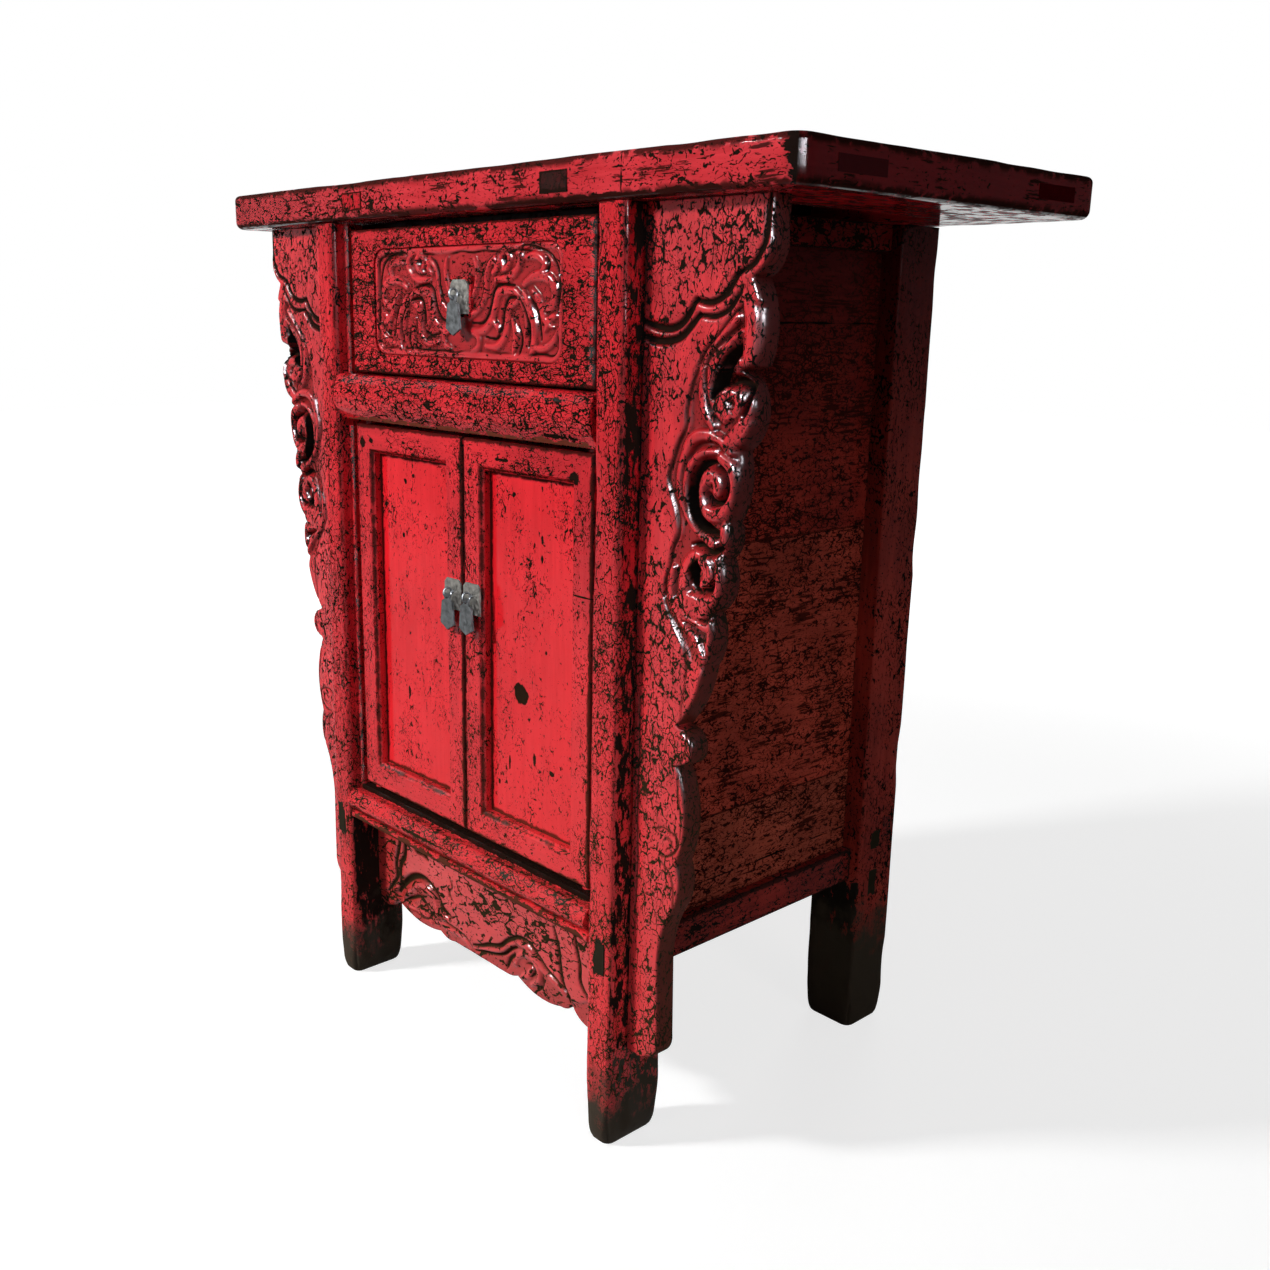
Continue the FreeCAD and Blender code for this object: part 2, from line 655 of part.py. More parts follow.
def build_front_rails():
    """The rail between drawer and doors, the bottom rail with its sill, and the rail under the top."""
    post_back = value("places.post_back")
    stop_face = value("places.stop_face")
    depth = value("places.front + sizes.rail_chamfer_depth")
    eased = value("places.front + sizes.rail_top_round")
    low = value("places.mid_rail_low")
    high = value("places.mid_rail_top")
    stop = value("places.upper_stop")
    section = rail_face(low, high, low)
    section += chain([(eased, high), (post_back, high), (post_back, stop), (stop_face, stop),
                      (stop_face, low), (depth, low)])
    keep("mid_rail", moulded_rail("mid_rail", section))
    low = value("sizes.bottom_rail_bottom")
    high = value("places.bottom_rail_top")
    bead = value("sizes.rail_bead")
    sill_front = value("places.front + sizes.sill_setback")
    sill = value("places.sill")
    stop = value("places.lower_stop")
    section = [[(depth, low), (depth - bead, low + bead / 2), (depth, low + bead)]]
    section += rail_face(low + bead / 2, high, low + bead)
    section += chain([(eased, high), (sill_front, high), (sill_front, sill), (stop_face, sill),
                      (stop_face, stop), (post_back, stop), (post_back, low), (depth, low)])
    keep("bottom_rail", moulded_rail("bottom_rail", section))
    keep("front_top_rail",
         box("front_top_rail_bar", ("-places.post_inner", "places.post_inner"),
             ("places.stop_face", "places.stop_face + sizes.front_top_rail_thickness"),
             ("places.under_top - sizes.front_top_rail_height", "places.under_top")))


def build_side_frames():
    """Side rails between post and leg, with three boards standing on edge between them."""
    corners = [("places.side_inner", "sizes.side_bottom_rail_bottom"),
               ("places.side_outer", "sizes.side_bottom_rail_bottom"),
               ("places.side_outer", "places.side_rail_top"), ("places.side_inner", "places.side_rail_top")]
    rail = polygon_body("side_bottom_rail_bar", "y", corners, "places.post_back", "places.leg_front")
    dress(rail, "Fillet", "sizes.side_rail_edge_round",
          lambda middle, edge: near(middle.x, "places.side_outer") and runs_along(edge, (0, 1, 0)))
    rail = fuse("side_bottom_rail_whole", rail, side_tenon("side_bottom_rail"))
    keep("side_bottom_rail_right", rail)
    keep("side_bottom_rail_left", mirrored("side_bottom_rail_left_form", rail))
    span = ("places.post_back", "places.leg_front")
    head = box("side_top_rail_bar", ("places.side_inner", "places.side_outer"), span,
               ("places.side_top_rail_low", "places.under_top"))
    keep("side_top_rail_right", head)
    keep("side_top_rail_left", mirrored("side_top_rail_left_form", head))
    levels = {"lower": ("places.side_rail_top", "places.side_lower_joint - sizes.board_gap / 2"),
              "middle": ("places.side_lower_joint + sizes.board_gap / 2",
                         "places.side_upper_joint - sizes.board_gap / 2"),
              "upper": ("places.side_upper_joint + sizes.board_gap / 2", "places.side_top_rail_low")}
    for name, level in levels.items():
        board = box("side_board_%s_form" % name, ("places.board_inner", "places.board_outer"), span, level)
        keep("side_board_%s_right" % name, board)
        keep("side_board_%s_left" % name, mirrored("side_board_%s_left_form" % name, board))


def build_back():
    """Two back rails between the legs, and two boards between the rails."""
    width = ("-places.leg_inner", "places.leg_inner")
    rail_y = ("places.back_rail_front", "places.back_rail_back")
    board_y = ("places.back_board_front", "places.back_board_back")
    tenon = back_tenon("back_rail")
    rail = fuse("back_bottom_rail_whole",
                box("back_bottom_rail_bar", width, rail_y, ("places.side_rail_top", "places.back_sill")),
                tenon, mirrored("back_rail_left_tenon", tenon))
    keep("back_bottom_rail", rail)
    keep("back_top_rail", box("back_top_rail_bar", width, rail_y, ("places.back_head", "places.under_top")))
    joint = "places.back_joint"
    keep("back_board_lower", box("back_board_lower_form", width, board_y,
                                 ("places.back_sill", joint + " - sizes.board_gap / 2")))
    keep("back_board_upper", box("back_board_upper_form", width, board_y,
                                 (joint + " + sizes.board_gap / 2", "places.back_head")))


def build_inside():
    """The cupboard floor, notched between the back legs, and the drawer's two runners."""
    height = ("places.side_rail_top", "places.floor_top")
    floor = fuse("cupboard_floor_whole",
                 box("cupboard_floor_board", ("-places.board_inner", "places.board_inner"),
                     ("places.post_back", "places.leg_front"), height),
                 box("cupboard_floor_tongue", ("-places.leg_inner", "places.leg_inner"),
                     ("places.leg_front", "places.back_rail_front"), height))
    keep("cupboard_floor", floor)
    span = ("places.post_back", "places.leg_front")
    runner = fuse("drawer_runner_whole",
                  box("drawer_runner_ledge", ("places.runner_inner", "places.board_inner"), span,
                      ("places.runner_top - sizes.runner_ledge_thickness", "places.runner_top")),
                  box("drawer_runner_guide", ("places.runner_guide", "places.board_inner"), span,
                      ("places.runner_top", "places.runner_top + sizes.runner_guide_height")))
    keep("drawer_runner_right", runner)
    keep("drawer_runner_left", mirrored("drawer_runner_left_form", runner))


def build_carved_boards():
    """The apron under the bottom rail, and the pierced brackets beside the front posts."""
    inner = value("places.post_inner")
    heights = (value("places.apron_low"), value("sizes.bottom_rail_bottom"))
    edges = scaled(APRON_EDGE_SHARES, (-inner, inner), heights)
    keep("apron", outline_body("apron_form", "y", [edges], "places.apron_front",
                               "places.apron_front + sizes.apron_thickness"))
    across = (value("places.post_outer"), value("places.post_outer + sizes.bracket_reach"))
    heights = (value("sizes.bracket_foot_height"), value("places.under_top"))
    loops = [scaled(edges, across, heights) for edges in [BRACKET_EDGE_SHARES] + BRACKET_PIERCING_SHARES]
    bracket = outline_body("bracket_form", "y", loops, "places.bracket_front",
                           "places.bracket_front + sizes.bracket_thickness")
    keep("bracket_right", bracket)
    keep("bracket_left", mirrored("bracket_left_form", bracket))


def cartouche_loop():
    """A long panel whose corners are stepped in and rounded, centred on the drawer's front."""
    half = value("sizes.cartouche_length") / 2
    rise = value("sizes.cartouche_height") / 2
    turn = value("sizes.cartouche_round")
    middle = value("places.drawer_middle")
    dent = turn * (1 - math.sqrt(0.5))
    corners = []
    for side, up in ((1, -1), (1, 1), (-1, 1), (-1, -1)):
        ends = [(side * half, middle + up * (rise - turn)),
                (side * (half - dent), middle + up * (rise - dent)),
                (side * (half - turn), middle + up * rise)]
        corners.append(ends if side == up else ends[::-1])
    loop = []
    for number, corner in enumerate(corners):
        loop += [corner, [corner[-1], corners[(number + 1) % 4][0]]]
    return loop


def build_drawer():
    """A drawer with a thick front, sunk for its carving round a flat seat for the pull."""
    corners = [("-places.drawer_edge", "places.drawer_low"), ("places.drawer_edge", "places.drawer_low"),
               ("places.drawer_edge", "places.drawer_high"), ("-places.drawer_edge", "places.drawer_high")]
    front = polygon_body("drawer_front_board", "y", corners, "places.door_front", "places.drawer_back_face")
    dress(front, "Fillet", "sizes.drawer_front_round", lambda middle, edge: near(middle.y, "places.door_front"))
    sinking = outline_body("cartouche_sinking", "y", [cartouche_loop()], "places.door_front - sizes.overrun",
                           "places.door_front + sizes.cartouche_depth")
    width = "sizes.pull_plate_width / 2 + sizes.pull_seat_margin"
    rise = "sizes.pull_plate_height / 2 + sizes.pull_seat_margin"
    seat = box("drawer_pull_seat", ("-(%s)" % width, width),
               ("places.door_front - sizes.overrun", "places.door_front + sizes.cartouche_depth"),
               ("places.drawer_pull_level - (%s)" % rise, "places.drawer_pull_level + " + rise))
    carved = cut("drawer_front_cut", front, cut("cartouche_tool", sinking, seat),
                 shank_hole("drawer", "0", "places.drawer_pull_level"))
    keep("drawer_front", carved)
    depth = ("places.drawer_back_face", "places.drawer_box_back")
    side = box("drawer_side_form", ("places.drawer_side_inner", "places.drawer_side_outer"), depth,
               ("places.drawer_side_low", "places.drawer_side_high"))
    keep("drawer_side_right", side)
    keep("drawer_side_left", mirrored("drawer_side_left_form", side))
    width = ("-places.drawer_side_inner", "places.drawer_side_inner")
    keep("drawer_back", box("drawer_back_form", width,
                            ("places.drawer_box_back - sizes.drawer_back_thickness", "places.drawer_box_back"),
                            ("places.drawer_side_low", "places.drawer_side_high - sizes.drawer_back_drop")))
    keep("drawer_bottom", box("drawer_bottom_form", width,
                              ("places.drawer_back_face",
                               "places.drawer_box_back - sizes.drawer_back_thickness"),
                              ("places.drawer_floor_low",
                               "places.drawer_floor_low + sizes.drawer_bottom_thickness")))


def mitred_member(name, corners, inner_edge):
    """A door frame member cut to its mitres, its inner front edge chamfered."""
    member = polygon_body(name + "_bar", "y", corners, "places.door_front", "places.door_back")
    return dress(member, "Chamfer", "sizes.door_frame_chamfer",
                 lambda middle, edge: near(middle.y, "places.door_front") and inner_edge(middle))


def build_doors():
    """Mitred frames with sunk panels, which turn on wooden pins at their outer stiles."""
    low, high = "places.door_low", "places.door_high"
    outer, inner = "places.door_outer", "places.door_inner"
    width = "sizes.door_frame_width"
    in_outer, in_inner = outer + " - " + width, inner + " + " + width
    in_low, in_high = low + " + " + width, high + " - " + width
    plan = [(inner, "places.door_front"), (outer, "places.door_front"),
            (outer, "places.door_back"), (inner, "places.door_back")]
    form = polygon_body("door_form", "z", plan, low, high)
    dress(form, "Fillet", "sizes.door_thickness / 2 - sizes.running_gap",
          lambda middle, edge: near(middle.x, outer) and near(middle.y, "places.door_back"))
    dress(form, "Fillet", "sizes.door_front_round",
          lambda middle, edge: near(middle.y, "places.door_front"))
    tongue = "sizes.door_panel_tongue"
    panel = box("door_panel_form", (in_inner + " - " + tongue, in_outer + " + " + tongue),
                ("places.panel_face", "places.panel_face + sizes.door_panel_thickness"),
                (in_low + " - " + tongue, in_high + " + " + tongue))
    members = {
        "hinge_stile": ([(outer, low), (outer, high), (in_outer, in_high), (in_outer, in_low)],
                        lambda middle: near(middle.x, in_outer)),
        "meeting_stile": ([(inner, low), (in_inner, in_low), (in_inner, in_high), (inner, high)],
                          lambda middle: near(middle.x, in_inner)),
        "top_rail": ([(inner, high), (in_inner, in_high), (in_outer, in_high), (outer, high)],
                     lambda middle: near(middle.z, in_high)),
        "bottom_rail": ([(inner, low), (outer, low), (in_outer, in_low), (in_inner, in_low)],
                        lambda middle: near(middle.z, in_low)),
    }
    pins = door_pins(low, high)
    tools = {"hinge_stile": [],
             "meeting_stile": [shank_hole("door", "places.door_pull_line", "places.door_pull_level")],
             "top_rail": [pins["head"]],
             "bottom_rail": [pins["foot"]]}
    for name, (corners, inner_edge) in members.items():
        bar = common("door_%s_form" % name, mitred_member("door_" + name, corners, inner_edge), form)
        bar = cut("door_%s_cut" % name, bar, panel, *tools[name])
        if name == "hinge_stile":
            bar = fuse("door_hinge_stile_whole", bar, *pins.values())
        keep("door_right_" + name, bar)
        keep("door_left_" + name, mirrored("door_left_%s_form" % name, bar))
    keep("door_right_panel", panel)
    keep("door_left_panel", mirrored("door_left_panel_form", panel))


def door_pins(low, high):
    """Round pins at the foot and head of the hinge stile, rooted inside it."""
    root = "sizes.door_frame_width"
    spans = {"foot": (low + " - sizes.door_pin_length", low + " + " + root),
             "head": (high + " - " + root, high + " + sizes.door_pin_length")}
    centre = ("places.pin_line", "places.pin_depth")
    return {name: rod("door_pin_" + name, "z", "sizes.door_pin_radius", centre, span)
            for name, span in spans.items()}


def shank_hole(name, line, level):
    """The hole in the wood for a pull's staple."""
    return rod(name + "_shank_hole", "y", "sizes.staple_shank_radius + sizes.pin_clearance",
               (line, level + " + sizes.staple_rise"),
               ("places.door_front - sizes.overrun",
                "places.door_front + sizes.staple_shank_depth + sizes.overrun"))


def build_pull(prefix, line, level):
    """A notched plate, a staple whose ring stands out of it, and a pendant hanging from the ring."""
    half = "sizes.pull_plate_width / 2"
    rise = "sizes.pull_plate_height / 2"
    notch = "sizes.pull_plate_notch"
    left, right = "%s - %s" % (line, half), "%s + %s" % (line, half)
    low, high = "%s - %s" % (level, rise), "%s + %s" % (level, rise)
    corners = [(left, low), (right, low), (right, "%s - %s" % (high, notch)),
               ("%s - %s" % (right, notch), high), ("%s + %s" % (left, notch), high),
               (left, "%s - %s" % (high, notch))]
    plate = polygon_body(prefix + "_plate_form", "y", corners, "places.plate_face", "places.door_front")
    ring_level = level + " + sizes.staple_rise"
    hole = rod(prefix + "_plate_hole", "y", "sizes.staple_shank_radius + sizes.pin_clearance",
               (line, ring_level), ("places.plate_face - sizes.overrun", "places.door_front + sizes.overrun"))
    keep(prefix + "_plate", cut(prefix + "_plate_cut", plate, hole))
    ring = doc.addObject("Part::Torus", prefix + "_ring")
    ring.Placement.Rotation = FreeCAD.Rotation(FreeCAD.Vector(0, 1, 0), 90)
    ring.setExpression("Radius1", "sizes.staple_ring_radius")
    ring.setExpression("Radius2", "sizes.staple_wire_radius")
    ring.setExpression("Placement.Base.x", line)
    ring.setExpression("Placement.Base.y", "places.ring_line")
    ring.setExpression("Placement.Base.z", ring_level)
    shank = rod(prefix + "_shank", "y", "sizes.staple_shank_radius", (line, ring_level),
                ("places.ring_line + sizes.staple_ring_radius",
                 "places.door_front + sizes.staple_shank_depth"))
    keep(prefix + "_staple", fuse(prefix + "_staple_form", ring, shank))
    eye = "(%s - sizes.staple_ring_radius - sizes.pendant_hang)" % ring_level
    rows = [("sizes.pendant_neck_width", "-sizes.pendant_neck_rise"),
            ("sizes.pendant_neck_width", "sizes.pendant_shoulder_drop / 2"),
            ("sizes.pendant_shoulder_width", "sizes.pendant_shoulder_drop"),
            ("sizes.pendant_foot_width", "sizes.pendant_foot_drop")]
    right_side = [("%s + %s / 2" % (line, width), "%s - (%s)" % (eye, drop)) for width, drop in rows]
    left_side = [("%s - %s / 2" % (line, width), "%s - (%s)" % (eye, drop)) for width, drop in rows]
    corners = right_side + [(line, eye + " - sizes.pendant_tip_drop")] + left_side[::-1]
    shield = polygon_body(prefix + "_pendant_form", "y", corners,
                          "places.ring_line - sizes.pendant_thickness / 2",
                          "places.ring_line + sizes.pendant_thickness / 2")
    hole = rod(prefix + "_pendant_eye", "y", "sizes.pendant_eye_radius", (line, eye),
               ("places.ring_line - sizes.pendant_thickness", "places.ring_line + sizes.pendant_thickness"))
    keep(prefix + "_pendant", cut(prefix + "_pendant_cut", shield, hole))


def check_and_export():
    """Stops if any object failed, then writes each piece's shape."""
    doc.recompute()
    failed = [item.Name for item in doc.Objects if {"Invalid", "Error"} & set(item.State)]
    bad = [piece.Label for piece in subparts
           if piece.Shape.isNull() or not piece.Shape.isValid() or not piece.Shape.Solids]
    if failed or bad:
        raise RuntimeError("failed objects %s, bad shapes %s" % (failed, bad))
    os.makedirs("parts", exist_ok=True)
    for piece in subparts:
        piece.Shape.exportStep("parts/%s.step" % piece.Label)
        print(piece.Label, len(piece.Shape.Solids), round(piece.Shape.Volume))


build_top()
build_posts()
build_front_rails()
build_side_frames()
build_back()
build_inside()
build_carved_boards()
build_drawer()
build_doors()
build_pull("drawer_pull", "0", "places.drawer_pull_level")
build_pull("door_right_pull", "places.door_pull_line", "places.door_pull_level")
build_pull("door_left_pull", "-places.door_pull_line", "places.door_pull_level")
check_and_export()
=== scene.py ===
import math

import bpy
import numpy as np
from mathutils import Matrix, Vector


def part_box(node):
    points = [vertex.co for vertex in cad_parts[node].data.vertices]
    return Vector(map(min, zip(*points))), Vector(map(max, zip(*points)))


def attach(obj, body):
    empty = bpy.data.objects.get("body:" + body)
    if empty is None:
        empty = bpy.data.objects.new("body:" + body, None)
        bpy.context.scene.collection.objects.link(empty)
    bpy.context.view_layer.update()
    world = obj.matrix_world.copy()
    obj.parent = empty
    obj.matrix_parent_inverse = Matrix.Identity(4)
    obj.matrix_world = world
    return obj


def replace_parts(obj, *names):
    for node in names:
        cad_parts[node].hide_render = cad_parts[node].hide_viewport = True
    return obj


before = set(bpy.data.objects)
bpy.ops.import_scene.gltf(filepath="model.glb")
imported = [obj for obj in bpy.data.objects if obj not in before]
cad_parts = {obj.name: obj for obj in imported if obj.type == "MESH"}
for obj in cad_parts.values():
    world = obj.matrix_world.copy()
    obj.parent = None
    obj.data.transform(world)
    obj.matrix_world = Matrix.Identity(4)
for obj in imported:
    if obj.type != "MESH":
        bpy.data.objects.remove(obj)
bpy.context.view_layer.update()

MM = 0.001

# Colours of the finishes, linear light. A pair is the lighter and the deeper tone of one lacquer.

BRIGHT_RED = (0.650, 0.0150, 0.0220)
DEEP_RED = (0.450, 0.0095, 0.0150)
# Painted light: the next colour is a lighter, pinker haze, as of light reflected from the floor onto the lower
# front.
PAINTED_HAZE_PINK = (0.860, 0.0600, 0.0620)
DARK_MAROON = (0.095, 0.0030, 0.0048)
BROWN_MAROON = (0.150, 0.0120, 0.0100)
# Painted shade: the next colour is the maroon that the parts lying in shade are blended towards.
PAINTED_SHADE_MAROON = (0.045, 0.0025, 0.0030)
CRACK_BROWN = (0.0130, 0.0055, 0.0032)
CRACK_OLIVE = (0.0500, 0.0340, 0.0130)
CRACK_RED = (0.032, 0.006, 0.004)
SEAM_BLACK = (0.006, 0.003, 0.002)
STREAK_BROWN = (0.030, 0.006, 0.004)
# Painted shadow: the next colour is near black for the back legs' front faces, which lie in the cabinet's
# shadow.
PAINTED_SHADOW_BLACK = (0.016, 0.012, 0.009)
OLD_DIRT = (0.0520, 0.0390, 0.0270)
BARE_OLIVE = (0.0250, 0.0200, 0.0120)
RUST_BAND = (0.160, 0.036, 0.020)
SILL_BAND = (0.090, 0.026, 0.014)
# Painted shade: the next colour is for the tenon ends on the top's end faces, the same dark as those shaded
# faces.
TENON_MAROON = (0.045, 0.002, 0.003)
RAW_WOOD = (0.170, 0.095, 0.045)
RAW_WOOD_DARK = (0.085, 0.043, 0.020)
WOOD_DUST = (0.100, 0.078, 0.055)
PEWTER = (0.112, 0.107, 0.094)
PEWTER_DARK = (0.045, 0.043, 0.038)
SLATE = (0.050, 0.054, 0.055)
SLATE_DARK = (0.018, 0.020, 0.020)

BRIGHT_REDS = BRIGHT_RED, DEEP_RED
DOOR_PANEL_REDS = (0.70, 0.0120, 0.0190), (0.58, 0.0080, 0.0130)
APRON_REDS = (0.53, 0.040, 0.037), (0.37, 0.026, 0.024)
TOP_FRONT_REDS = (0.63, 0.030, 0.040), (0.45, 0.013, 0.019)
TOP_REDS = (0.43, 0.016, 0.022), (0.26, 0.009, 0.013)
TOP_PANEL_REDS = DEEP_RED, DARK_MAROON
RED_BATTEN_REDS = DEEP_RED, (0.25, 0.004, 0.006)
DARK_BATTEN_REDS = (0.05, 0.004, 0.004), CRACK_BROWN
LEG_REDS = (0.36, 0.034, 0.022), (0.21, 0.020, 0.014)
SIDE_RAIL_REDS = (0.36, 0.026, 0.018), (0.18, 0.014, 0.011)
DARK_RAIL_REDS = DARK_MAROON, BROWN_MAROON
SHADED_RAIL_REDS = (0.020, 0.004, 0.004), CRACK_BROWN
BACK_RAIL_REDS = (0.24, 0.018, 0.014), BROWN_MAROON
BACK_BOARD_REDS = (0.40, 0.048, 0.032), (0.24, 0.028, 0.020)
# The upper board is set a little deeper than the others: painted shade under the top's overhang.
SIDE_BOARD_REDS = {"lower": ((0.560, 0.100, 0.058), (0.350, 0.064, 0.038)),
                   "middle": ((0.580, 0.076, 0.046), (0.340, 0.046, 0.028)),
                   "upper": ((0.500, 0.046, 0.030), (0.270, 0.025, 0.018))}


# Node trees, written as arithmetic on wires

class Wire:
    """What leaves a shader node. Arithmetic on it makes Math nodes, or Vector Math nodes where it carries a
    vector or a colour; the other side is a number, a tuple or another wire."""

    def __init__(self, socket):
        self.socket, self.tree = socket, socket.id_data

    def maths(self, operation, *given):
        """One such node, fed with the given values in their order."""
        solid = self.socket.type in ("VECTOR", "RGBA")
        made = self.tree.nodes.new("ShaderNodeVectorMath" if solid else "ShaderNodeMath")
        made.operation = operation
        for socket, one in zip(made.inputs, given):
            feed(socket, one)
        return Wire(made.outputs["Value" if operation == "LENGTH" else 0])

    def __add__(self, other):
        return self.maths("ADD", self, other)

    def __mul__(self, other):
        return self.maths("MULTIPLY", self, other)

    def __sub__(self, other):
        return self.maths("SUBTRACT", self, other)

    def __rsub__(self, other):
        return self.maths("SUBTRACT", other, self)

    def __truediv__(self, other):
        return self.maths("DIVIDE", self, other)

    def __rtruediv__(self, other):
        return self.maths("DIVIDE", other, self)

    def __abs__(self):
        return self.maths("ABSOLUTE", self)

    __radd__ = __add__

    def length(self):
        """How long a vector is."""
        return self.maths("LENGTH", self)

    def clamped(self):
        """Holds the value between 0 and 1."""
        self.socket.node.use_clamp = True
        return self


def feed(socket, given):
    """Joins a wire to an input socket, or sets a plain value on it."""
    if isinstance(given, Wire):
        socket.id_data.links.new(given.socket, socket)
    elif given is not None:
        socket.default_value = (*given, 1.0) if socket.type == "RGBA" and len(given) == 3 else given


def add_node(tree, kind, settings=(), **given):
    """A node of a kind, with settings, its inputs fed by name, underscores for blanks. Returns its outputs by
    name."""
    made = tree.nodes.new("ShaderNode" + kind)
    for label, one in dict(settings).items():
        setattr(made, label, one)
    for label, one in given.items():
        feed(made.inputs[label.replace("_", " ")], one)
    return {socket.name: Wire(socket) for socket in made.outputs}


def most(first, *others):
    """The largest of some wires."""
    for other in others:
        first = first.maths("MAXIMUM", first, other)
    return first


def least(first, other):
    """The smaller of two wires."""
    return first.maths("MINIMUM", first, other)


def ramp(given, low, high, start=0.0, end=1.0):
    """A soft step: start below low, end above high, an S curve between them."""
    return add_node(given.tree, "MapRange", {"interpolation_type": "SMOOTHSTEP"}, Value=given,
                    From_Min=low, From_Max=high, To_Min=start, To_Max=end)["Result"]


def noise(place, scale, detail=2.0, rough=0.5, twist=0.0, output="Fac"):
    """Noise over a place: its value between 0 and 1, or its three values as a colour."""
    return add_node(place.tree, "TexNoise", Vector=place, Scale=scale, Detail=detail, Roughness=rough,
                    Distortion=twist)[output]


def blend(share, first, second):
    """A colour between first, at share 0, and second, at share 1."""
    made = share.tree.nodes.new("ShaderNodeMix")
    made.data_type = "RGBA"
    for number, one in ((0, share), (6, first), (7, second)):
        feed(made.inputs[number], one)
    return Wire(made.outputs[2])


def bump(height, distance, strength=1.0):
    """The normal that a height, times a distance, gives a surface."""
    return add_node(height.tree, "Bump", Strength=strength, Distance=distance, Height=height)["Normal"]


def effect(name, work, **inputs):
    """A shared shader group with named inputs and their values. Its work takes the inputs' wires in their
    order and returns its outputs by name."""
    tree = bpy.data.node_groups.new(name, "ShaderNodeTree")
    for label, value in inputs.items():
        kind = "NodeSocketFloat" if isinstance(value, float) else "NodeSocketVector"
        socket = tree.interface.new_socket(name=label.replace("_", " "), in_out="INPUT", socket_type=kind)
        if value is not None:
            socket.default_value = value
    entry = tree.nodes.new("NodeGroupInput").outputs
    made = work(*(Wire(entry[label.replace("_", " ")]) for label in inputs))
    for label in made:
        tree.interface.new_socket(name=label, in_out="OUTPUT", socket_type="NodeSocketFloat")
    leave = tree.nodes.new("NodeGroupOutput").inputs
    for label, wire in made.items():
        feed(leave[label], wire)
    return {"node_tree": tree}


# Shared effects

def crackle(place, squeeze, cell_size, line_width, amount, fine_amount):
    """Crackled lacquer: lines on the borders of warped Voronoi cells, at a coarse and a fine scale. A quick
    noise breaks them into dashes, a slow one makes bare and crowded regions, another swells their width."""
    per_metre = 1.0 / cell_size
    place = place * squeeze
    warped = place
    for finer, size in ((0.9, 0.75), (3.4, 0.30)):
        wobble = noise(place, per_metre * finer, 1.0, output="Color") - (0.5, 0.5, 0.5)
        reach = place.tree.nodes.new("ShaderNodeVectorMath")
        reach.operation = "SCALE"
        feed(reach.inputs[0], wobble)
        feed(reach.inputs["Scale"], cell_size * size)
        warped = warped + Wire(reach.outputs[0])
    region = noise(place, per_metre * 0.17) - 0.5
    swell = ramp(noise(place, per_metre * 0.75), 0.34, 0.70, 0.55, 1.7)
    masks = []
    for finer, wide, share in ((1.0, 1.0, amount), (2.5, 1.25, fine_amount)):
        border = add_node(place.tree, "TexVoronoi", {"feature": "DISTANCE_TO_EDGE"}, Vector=warped,
                          Scale=per_metre * finer)["Distance"]
        low = 0.68 - share * 0.32
        dashes = ramp(noise(warped, per_metre * (1.7 * finer), 2.0, 0.55) + region * 0.55, low, low + 0.03)
        line = line_width * wide * swell
        masks.append(ramp(border, line * 0.75, line * 1.1, 1.0, 0.0) * dashes)
        if share is amount:
            curl = ramp(border, 0.0, 0.30, 1.0, 0.0)
    return {"Cracks": most(*masks), "Curl": curl * ramp(region, -0.2, 0.2)}


def drawn_grain(place, stretch, fineness, amount):
    """Wood grain under lacquer: noise squeezed across the grain and drawn out along it, as slow streaks and
    as short dark ticks."""
    drawn = place * stretch
    ticks = noise(drawn, fineness * 2.3, 3.0, 0.7) * 0.62 + noise(place, 22.0, 3.0, 0.6) * 0.38
    low = 0.80 - amount * 0.32
    return {"Streaks": noise(drawn, fineness, 4.0, 0.6, 0.3), "Ticks": ramp(ticks, low, low + 0.035),
            "Waves": noise(drawn, fineness * 0.22)}


def arris_wear_and_shade_lines(place, low_corner, high_corner, reach, amount, line):
    """Arris wear and dark lines: the middle one of a point's three distances to its piece's box faces is its
    distance to the nearest edge; noise makes the worn strip come and go. The narrower Line along every edge
    is partly grime in the joints and partly painted shade in the gaps between parts."""
    nearest = least(abs(place - low_corner), abs(high_corner - place))
    x, y, z = add_node(place.tree, "SeparateXYZ", Vector=nearest).values()
    middle = most(least(x, y), least(most(x, y), z))
    rough = noise(place, 70.0, 4.0, 0.65)
    both = rough * 0.65 + noise(place, 13.0) * 0.35
    low = 0.66 - amount * 0.34
    reach = reach * ramp(both, low, low + 0.22, 0.10, 1.0)
    line = line * ramp(rough, 0.35, 0.6, 0.75, 1.5)
    return {"Worn": ramp(middle / reach, 0.45, 1.0, 1.0, 0.0),
            "Line": ramp(middle / line, 0.55, 1.1, 1.0, 0.0)}


def chips_and_spots(place, size, amount):
    """Chips and dark spots: the islands of a noise above a level that the amount lowers."""
    low = 0.82 - amount * 0.34
    return {"Chips": ramp(noise(place, 1.0 / size, 5.0, 0.62, 0.6), low, low + 0.02)}


CRACKLE = effect("crackled lacquer", crackle, Place=None, Squeeze=(1.0, 1.0, 0.68), Cell_Size=0.012,
                 Line_Width=0.070, Amount=0.6, Fine_Amount=0.5)
GRAIN = effect("drawn out grain", drawn_grain, Place=None, Stretch=(1.0, 1.0, 0.1), Fineness=160.0,
               Amount=0.5)
ARRISES = effect("arris wear and shade lines", arris_wear_and_shade_lines, Place=None, Low_Corner=None, High_Corner=None, Reach=0.006,
                 Amount=0.5, Line=0.001)
CHIPS = effect("chips and spots", chips_and_spots, Place=None, Size=0.02, Amount=0.3)

GRAIN_DRAWN = 0.09
PATCH_DRAWN = 0.4
CRACKLE_DRAWN = {"x": 0.62, "y": 0.62, "z": 0.68}
